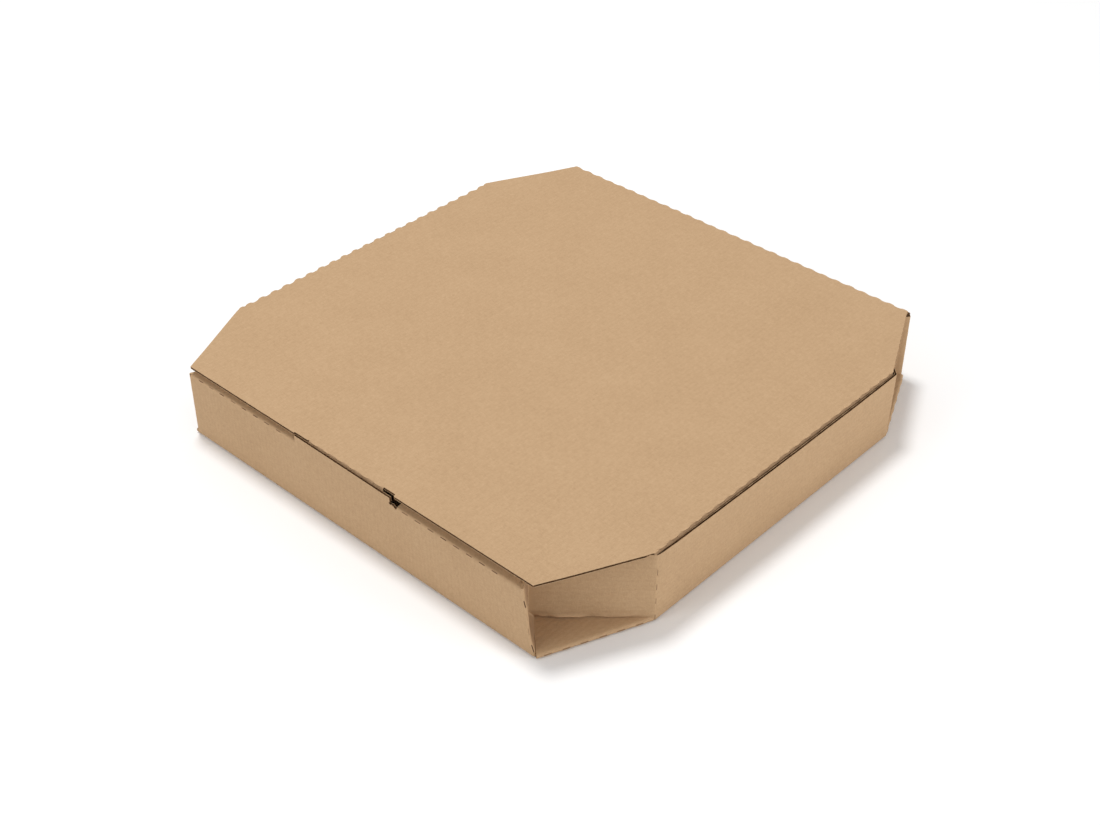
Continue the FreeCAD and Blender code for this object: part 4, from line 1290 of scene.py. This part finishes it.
# top_left ends at SLOT_X0, raw_part starts there
seen, ol = set(), []
for p in outl:
    key = (round(float(p[0]), 3), round(float(p[1]), 3))
    if key not in seen:
        seen.add(key)
        ol.append(p)
outl = ol
panel(tray, [outl], 8.0, lambda x, z: front_pt(x, z, 0.0), OUTER, lambda x, z: np.stack([x, -z - 300], -1), seed=3)
panel(tray, [[np.array([p[0], T]) if p[1] <= R + 1e-6 else p for p in outl]], 8.0, lambda x, z: front_pt(x, z, T), INNER,
      lambda x, z: np.stack([x + 411, -z - 377], -1), seed=3)

# bottom fold of the front wall, down to the floor's underside
rows = []
for (z, d) in bz[:-1]:
    row = front_pt(bottom_x, np.full(len(bottom_x), R), d)
    row[:, 2] = z
    rows.append(row)
rows.append(front_pt(bottom_x, np.full(len(bottom_x), R), 0.0))
# match the run's end columns
rows = np.array(rows)
for r_ in range(len(bz) - 1):
    rows[r_, 0] = OUTERP[r_, -1]
    rows[r_, -1] = OUTERP[r_, 0]
tray.grid(rows, np.array([np.stack([bottom_x, -rows[i][:, 2] - 300], 1) for i in range(len(bz))]), OUTER)
FRONT_LOW = rows[0]

# raw edge of tongue and notch
rp = np.array(raw_part + [np.array([SLOT_X1, float(fz(SLOT_X1))])])
A, B = front_pt(rp[:, 0], rp[:, 1], 0.0), front_pt(rp[:, 0], rp[:, 1], T)
t2 = np.gradient(rp, axis=0)
t2 /= np.linalg.norm(t2, axis=1)[:, None]
D = np.stack([t2[:, 1], 0 * t2[:, 0], -t2[:, 0]], 1)
i1 = len(left_step)
i2 = i1 + len(tong) - 1
D[:i1] = [1, 0, 0]
D[i1:i2 + 1] = [0, 0, -1]
raw_edge(tray, tray_core, A[:i1 + 1], B[:i1 + 1], D[:i1 + 1], np.zeros(i1 + 1), True, seed=61, uv=rp[:i1 + 1])
raw_edge(tray, tray_core, A[i1:i2 + 1], B[i1:i2 + 1], np.tile([0, 0, -1.0], (i2 + 1 - i1, 1)), rp[i1:i2 + 1, 0], False, seed=62, uv=rp[i1:i2 + 1], phase=0.4)
raw_edge(tray, tray_core, A[i2:], B[i2:], np.tile([-0.35, 0, -0.94], (len(A) - i2, 1)), rp[i2:, 0], False, seed=63, uv=rp[i2:], depth=1.6)

# ledge and inner panel: rows after the outer fold
TILT = math.atan2(LEDGE_RISE, LEDGE_DEPTH)
nl = np.array([0, -math.sin(TILT), math.cos(TILT)])      # ledge normal


def roll_rows(x, g, h, ran, first):
    """Rows over the outer fold, the ledge, the inner fold and down the inner panel; outer face and inner face."""
    n = len(x)
    base = front_pt(x, fz(x), 0.0)
    C = base + [0, R, 0]
    n1 = np.tile([0.0, -1, 0], (n, 1))
    n2 = np.tile(nl, (n, 1))
    P = fold_rows(C, n1, n2, R, g, h, ran, push=0.05, sharp=0.0, depth=0.3)
    Q = fold_rows(C, n1, n2, R - T, g * 0, h * 0 + 1, ran * 0, push=0, sharp=0)
    Q[0] = front_pt(x, fz(x), T)
    mk = fold_marks(ANG, g, h)
    mk[:, :, 0] *= 1.0
    ld = np.array([0, math.cos(TILT), math.sin(TILT)])
    span = (LEDGE_DEPTH - 2 * R) / math.cos(TILT)
    rowsP, rowsQ, tag = [], [], []
    cut_d = (SLOT_EDGE - (yo + R)) / math.cos(TILT)
    ds = sorted([1.2, 2.8, 4.2, cut_d, span])
    for d in ds:
        w = 0.10 * noise2(x, np.full(n, d * 9), 20, 1)[:, None] * nl
        w = w * (0 if d in (cut_d, span) else 1)
        rowsP.append(C + nl * R + ld * d + w)
        rowsQ.append(C + nl * (R - T) + ld * d + w)
        tag.append(d)
    C2 = C + ld * span
    n3 = np.tile([0.0, 1, 0], (n, 1))
    qs = np.array([.2, .4, .6, .8, 1.0])
    for q in qs:
        dd = slerp(n2, n3, q)
        rowsP.append(C2 + dd * R)
        rowsQ.append(C2 + dd * (R - T))
    top = C2 + n3 * R
    bot_z = 2.0
    for t in (0.12, 0.35, 0.6, 0.82, 1.0):
        p = top.copy()
        p[:, 2] = top[:, 2] + (bot_z - top[:, 2]) * t
        rowsP.append(p)
        rowsQ.append(p - [0, T, 0])
    PP = np.concatenate([P, rowsP])
    QQ = np.concatenate([Q, rowsQ])
    mk = np.concatenate([mk, np.zeros((len(rowsP), n, 2))])
    r_cut = len(ANG) + tag.index(cut_d)
    return PP, QQ, mk, r_cut


SLOT_EDGE = yo + T + 6.0


def clip_x(PP, QQ, side):
    """The inner panel is narrower than the outer one: its end slants in along the ledge."""
    for M in (PP, QQ):
        ys = M[:, -1 if side > 0 else 0, 1]
        xe = M[0, -1 if side > 0 else 0, 0]
        tgt = 129.5 if side > 0 else -136.5
        k = np.clip((ys - (ys[0] + 0.8)) / (LEDGE_DEPTH - 1.6), 0, 1)
        k = np.where(ys > ys[0] + LEDGE_DEPTH - 1.4, 1.0, k)
        xe2 = xe + (tgt - xe) * k
        x0 = M[:, 0 if side > 0 else -1, 0]
        X = M[:, :, 0]
        old = M[:, -1 if side > 0 else 0, 0][:, None]
        f = (X - x0[:, None]) / (old - x0[:, None])
        M[:, :, 0] = x0[:, None] + f * (xe2 - x0)[:, None]


def roll_uv(PP, x):
    v = np.concatenate([[0], np.cumsum(np.linalg.norm(np.diff(PP[:, len(x) // 2], axis=0), axis=1))])
    uv = np.zeros(PP.shape[:2] + (2,))
    uv[:, :, 0] = x[None, :]
    uv[:, :, 1] = -345 - v[:, None]
    return uv


PL, QL, ML, rc = roll_rows(sl, gl, hl, rl_, True)
PRr, QRr, MR, rc = roll_rows(srr, gr, hr, rr_, False)
endL, endR = PL[:, 0].copy(), PRr[:, -1].copy()
clip_x(PL, QL, -1)
clip_x(PRr, QRr, 1)
xm = np.linspace(SLOT_X0, SLOT_X1, 60)
PM, QM, MM, rc = roll_rows(xm, 0 * xm, 0 * xm, 0 * xm, False)
# the middle strip meets its neighbours at the slot's ends
PM[:, 0], QM[:, 0] = PL[:, -1], QL[:, -1]
PM[:, -1], QM[:, -1] = PRr[:, 0], QRr[:, 0]
uvL, uvR, uvM = roll_uv(PL, sl), roll_uv(PRr, srr), roll_uv(PM, xm)
tray.grid(PL, uvL, OUTER, ML)
tray.grid(QL, uvL + [411, 77], INNER)
tray.grid(PRr, uvR, OUTER, MR)
tray.grid(QRr, uvR + [411, 77], INNER)
tray.grid(PM[rc:], uvM[rc:], OUTER)
tray.grid(QM[rc:], uvM[rc:] + [411, 77], INNER)
# raw edges: slot's long side, slot's ends, lower edge of the inner panel, outer ends
raw_edge(tray, tray_core, PM[rc], QM[rc], np.tile([0, math.cos(TILT), math.sin(TILT)], (len(xm), 1)), xm, False, seed=70, uv=uvM[rc])
raw_edge(tray, tray_core, PL[:rc + 1, -1], QL[:rc + 1, -1], np.tile([-1.0, 0, 0], (rc + 1, 1)), np.zeros(rc + 1), True, seed=71, uv=uvL[:rc + 1, -1])
raw_edge(tray, tray_core, PRr[:rc + 1, 0], QRr[:rc + 1, 0], np.tile([1.0, 0, 0], (rc + 1, 1)), np.zeros(rc + 1), True, seed=72, uv=uvR[:rc + 1, 0])
for PP_, QQ_, uv_, x_ in ((PL, QL, uvL, sl), (PM, QM, uvM, xm), (PRr, QRr, uvR, srr)):
    raw_edge(tray, tray_core, PP_[-1], QQ_[-1], np.tile([0, 0, 1.0], (len(x_), 1)), x_, False, seed=73, uv=uv_[-1])
raw_edge(tray, tray_core, PL[:, 0], QL[:, 0], np.tile([1.0, 0, 0], (len(PL), 1)), np.zeros(len(PL)), True, seed=74, uv=uvL[:, 0], plain=True)
raw_edge(tray, tray_core, PRr[:, -1], QRr[:, -1], np.tile([-1.0, 0, 0], (len(PRr), 1)), np.zeros(len(PRr)), True, seed=75, uv=uvR[:, -1], plain=True)

# ================================================================== floor
under = [p[:2] for p in OUTERP[0]]
fl = [p[:2] for p in FRONT_LOW[1:-1]]
loopu = [np.array(p) for p in fl] + [np.array(p) for p in under]


def dedupe(lp, tol=0.02):
    out = []
    for p in lp:
        if not out or np.hypot(*(p - out[-1])) > tol:
            out.append(p)
    if np.hypot(*(out[0] - out[-1])) < tol:
        out.pop()
    return out


loopu = dedupe(loopu)
panel(tray, [loopu], 16.0, lambda x, y: np.stack([x, y, 0.0 * x], -1), OUTER, lambda x, y: np.stack([x, y], -1), seed=5)
frl = front_pt(bottom_x, np.full(len(bottom_x), T), T)
inn = [np.array(p[:2]) for p in frl[1:-1]] + [np.array(p[:2]) for p in INNERP[0]]
inn = dedupe(inn)
panel(tray, [inn], 14.0, lambda x, y: np.stack([x, y, T + 0 * x], -1), INNER, lambda x, y: np.stack([x + 411, y + 77], -1), seed=6)


# ================================================================== folded-over corners of the floor
def corner_tri(j2, jm, j1, seed):
    p2, p1, m = LOW[j2].copy(), LOW[j1].copy(), LOW[jm].copy()
    u = p1 - p2
    L = np.linalg.norm(u)
    u = u / L
    n = np.array([-u[1], u[0]])
    if (m - p2) @ n < 0:
        n = -n
    st, g, h, ran = slit_line(0.25, L - 0.9, cs=[6.8, 18.0, 29.1, 40.6, 51.8, 63.3], seed=80 + seed, step=2.0)
    a = p2[None, :] + u[None, :] * st[:, None]
    mm = m + n * 1.1 - u * 0.8
    k = len(st)
    Cc = np.concatenate([a + n * T, np.full((k, 1), T)], 1)
    nd = np.tile([0.0, 0, -1.0], (k, 1))
    nu = np.tile([0.0, 0, 1.0], (k, 1))
    no = np.tile([-n[0], -n[1], 0.0], (k, 1))
    lowrows = []
    ang = np.array([0, .22, .38, .43, .5, .57, .62, .78, 1.0])
    for q in ang:
        th = math.pi * q
        d = np.array([-n[0] * math.sin(th), -n[1] * math.sin(th), -math.cos(th)])
        b = math.sin(th) ** 2
        kk = T * (1 + 0.10 * h * b) - 0.22 * (1 - h) * b + 0.06 * ran * b
        if abs(q - .5) < .01:
            kk = kk - 1.1 * g
        lowrows.append(Cc + d[None, :] * kk[:, None])
    lowrows = np.array(lowrows)
    mkn = np.zeros((len(ang), k, 2))
    for i, q in enumerate(ang):
        mkn[i, :, 0] = math.sin(math.pi * q) * 0.6
        # marks: scuffed crease (X) and painted shade in the slit openings (Y)
        mkn[i, :, 1] = g * (1.0 if abs(q - .5) < .01 else (0.25 if abs(q - .5) < .08 else 0))
    # top face runs in to the inner crease, rising a little
    fr = [0.0, 0.12, 0.28, 0.46, 0.64, 0.8, 0.92, 1.0]
    top, bot = [], []
    for f in fr:
        q = lowrows[-1] * (1 - f)
        q[:, :2] += mm * f
        rise = 0.9 * f ** 1.5
        wv = 0.22 * noise2(a[:, 0] + f * 40, a[:, 1], 15, seed % 8) * math.sin(math.pi * min(1, f * 1.02))
        q[:, 2] = 2 * T + rise + wv
        top.append(q)
        q2 = lowrows[0] * (1 - f)
        q2[:, :2] += mm * f
        q2[:, 2] = 0.02 * f
        bot.append(q2)
    P = np.concatenate([np.array(bot)[::-1], lowrows[1:-1], np.array(top)])
    mk = np.concatenate([np.zeros((len(fr), k, 2)), mkn[1:-1], np.zeros((len(fr), k, 2))])
    v = np.concatenate([[0], np.cumsum(np.linalg.norm(np.diff(P[:, k // 2], axis=0), axis=1))])
    uv = np.zeros(P.shape[:2] + (2,))
    uv[:, :, 0] = P[:, :, 0] + seed * 13
    uv[:, :, 1] = P[:, :, 1] * 0.7 + v[:, None]
    tri = Build()
    tray_tri.grid(P, uv, OUTER, mk)
    for e in (0, -1):
        c = [P[i, e] for i in range(len(P))]
        tray_tri.add(c, [tuple(range(len(c)))], [[0, 0]] * len(c), [[0, 0]] * len(c), RIM)
    # the two faces meet at the inner crease
    tray_tri.grid(np.array([P[0], P[-1]]), np.array([uv[0], uv[-1]]), RIM)


tray_tri = Build()
corner_tri(1, 2, 3, 1)
corner_tri(6, 5, 4, 2)
corner_tri(7, 8, 9, 3)
corner_tri(0, 11, 10, 4)

tray_ob = tray.object("tray_board", MATS)
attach(tray_ob, "tray")
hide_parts("tray")
tri_ob = tray_tri.object("tray_folded_corners", MATS)
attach(tri_ob, "tray")
core_ob = tray_core.object("tray_flutes", [m_core])
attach(core_ob, "tray")

# ================================================================== stage, light, camera
me = bpy.data.meshes.new("floor")
s = 6.0
me.from_pydata([(-s, -s, 0), (s, -s, 0), (s, s, 0), (-s, s, 0)], [], [(0, 1, 2, 3)])
floor = bpy.data.objects.new("floor", me)
bpy.context.scene.collection.objects.link(floor)
floor.location = (0, 0, -0.0004)
mf, nt = nodes_of("floor_paper")
g = N(nt)
bs = g.node("ShaderNodeBsdfPrincipled")
bs.inputs["Base Color"].default_value = (0.97, 0.97, 0.97, 1)
bs.inputs["Roughness"].default_value = 0.9
bs.inputs["Specular IOR Level"].default_value = 0.1
o = g.node("ShaderNodeOutputMaterial")
g.link(bs.outputs[0], o.inputs[0])
me.materials.append(mf)

world = bpy.data.worlds.new("studio")
bpy.context.scene.world = world
world.use_nodes = True
wn = world.node_tree
bg = wn.nodes["Background"]
bg.inputs[0].default_value = (1.0, 1.0, 1.0, 1)
bg.inputs[1].default_value = 0.54


def area(name, loc, target, size, power, col=(1, 1, 1)):
    li = bpy.data.lights.new(name, "AREA")
    li.shape = "DISK"
    li.size = size
    li.energy = power
    li.color = col
    ob = bpy.data.objects.new(name, li)
    ob.location = loc
    d = Vector(target) - Vector(loc)
    ob.rotation_mode = "QUATERNION"
    ob.rotation_quaternion = d.to_track_quat("-Z", "Y")
    bpy.context.scene.collection.objects.link(ob)
    return ob


area("key", (-0.55, 0.10, 2.35), (0, 0, 0.03), 0.6, 28.5)
area("front", (-0.5, -2.1, 1.15), (0, 0, 0.03), 1.0, 10)
area("right", (2.5, 0.9, 0.6), (0, 0, 0.03), 1.2, 20)

cam_d = bpy.data.cameras.new("cam")
cam = bpy.data.objects.new("cam", cam_d)
bpy.context.scene.collection.objects.link(cam)
cam_d.sensor_fit = "HORIZONTAL"
cam_d.sensor_width = 36.0
cam_d.lens = 1633.9 / 1100.0 * 36.0
cam.location = (0.59187, -0.64517, 0.64646)
cam.rotation_mode = "QUATERNION"
cam.rotation_quaternion = Vector((-0.54533, 0.58739, -0.59798)).to_track_quat("-Z", "Y")
cam_d.clip_start, cam_d.clip_end = 0.02, 50
bpy.context.scene.camera = cam
bpy.context.scene.view_settings.view_transform = "Standard"
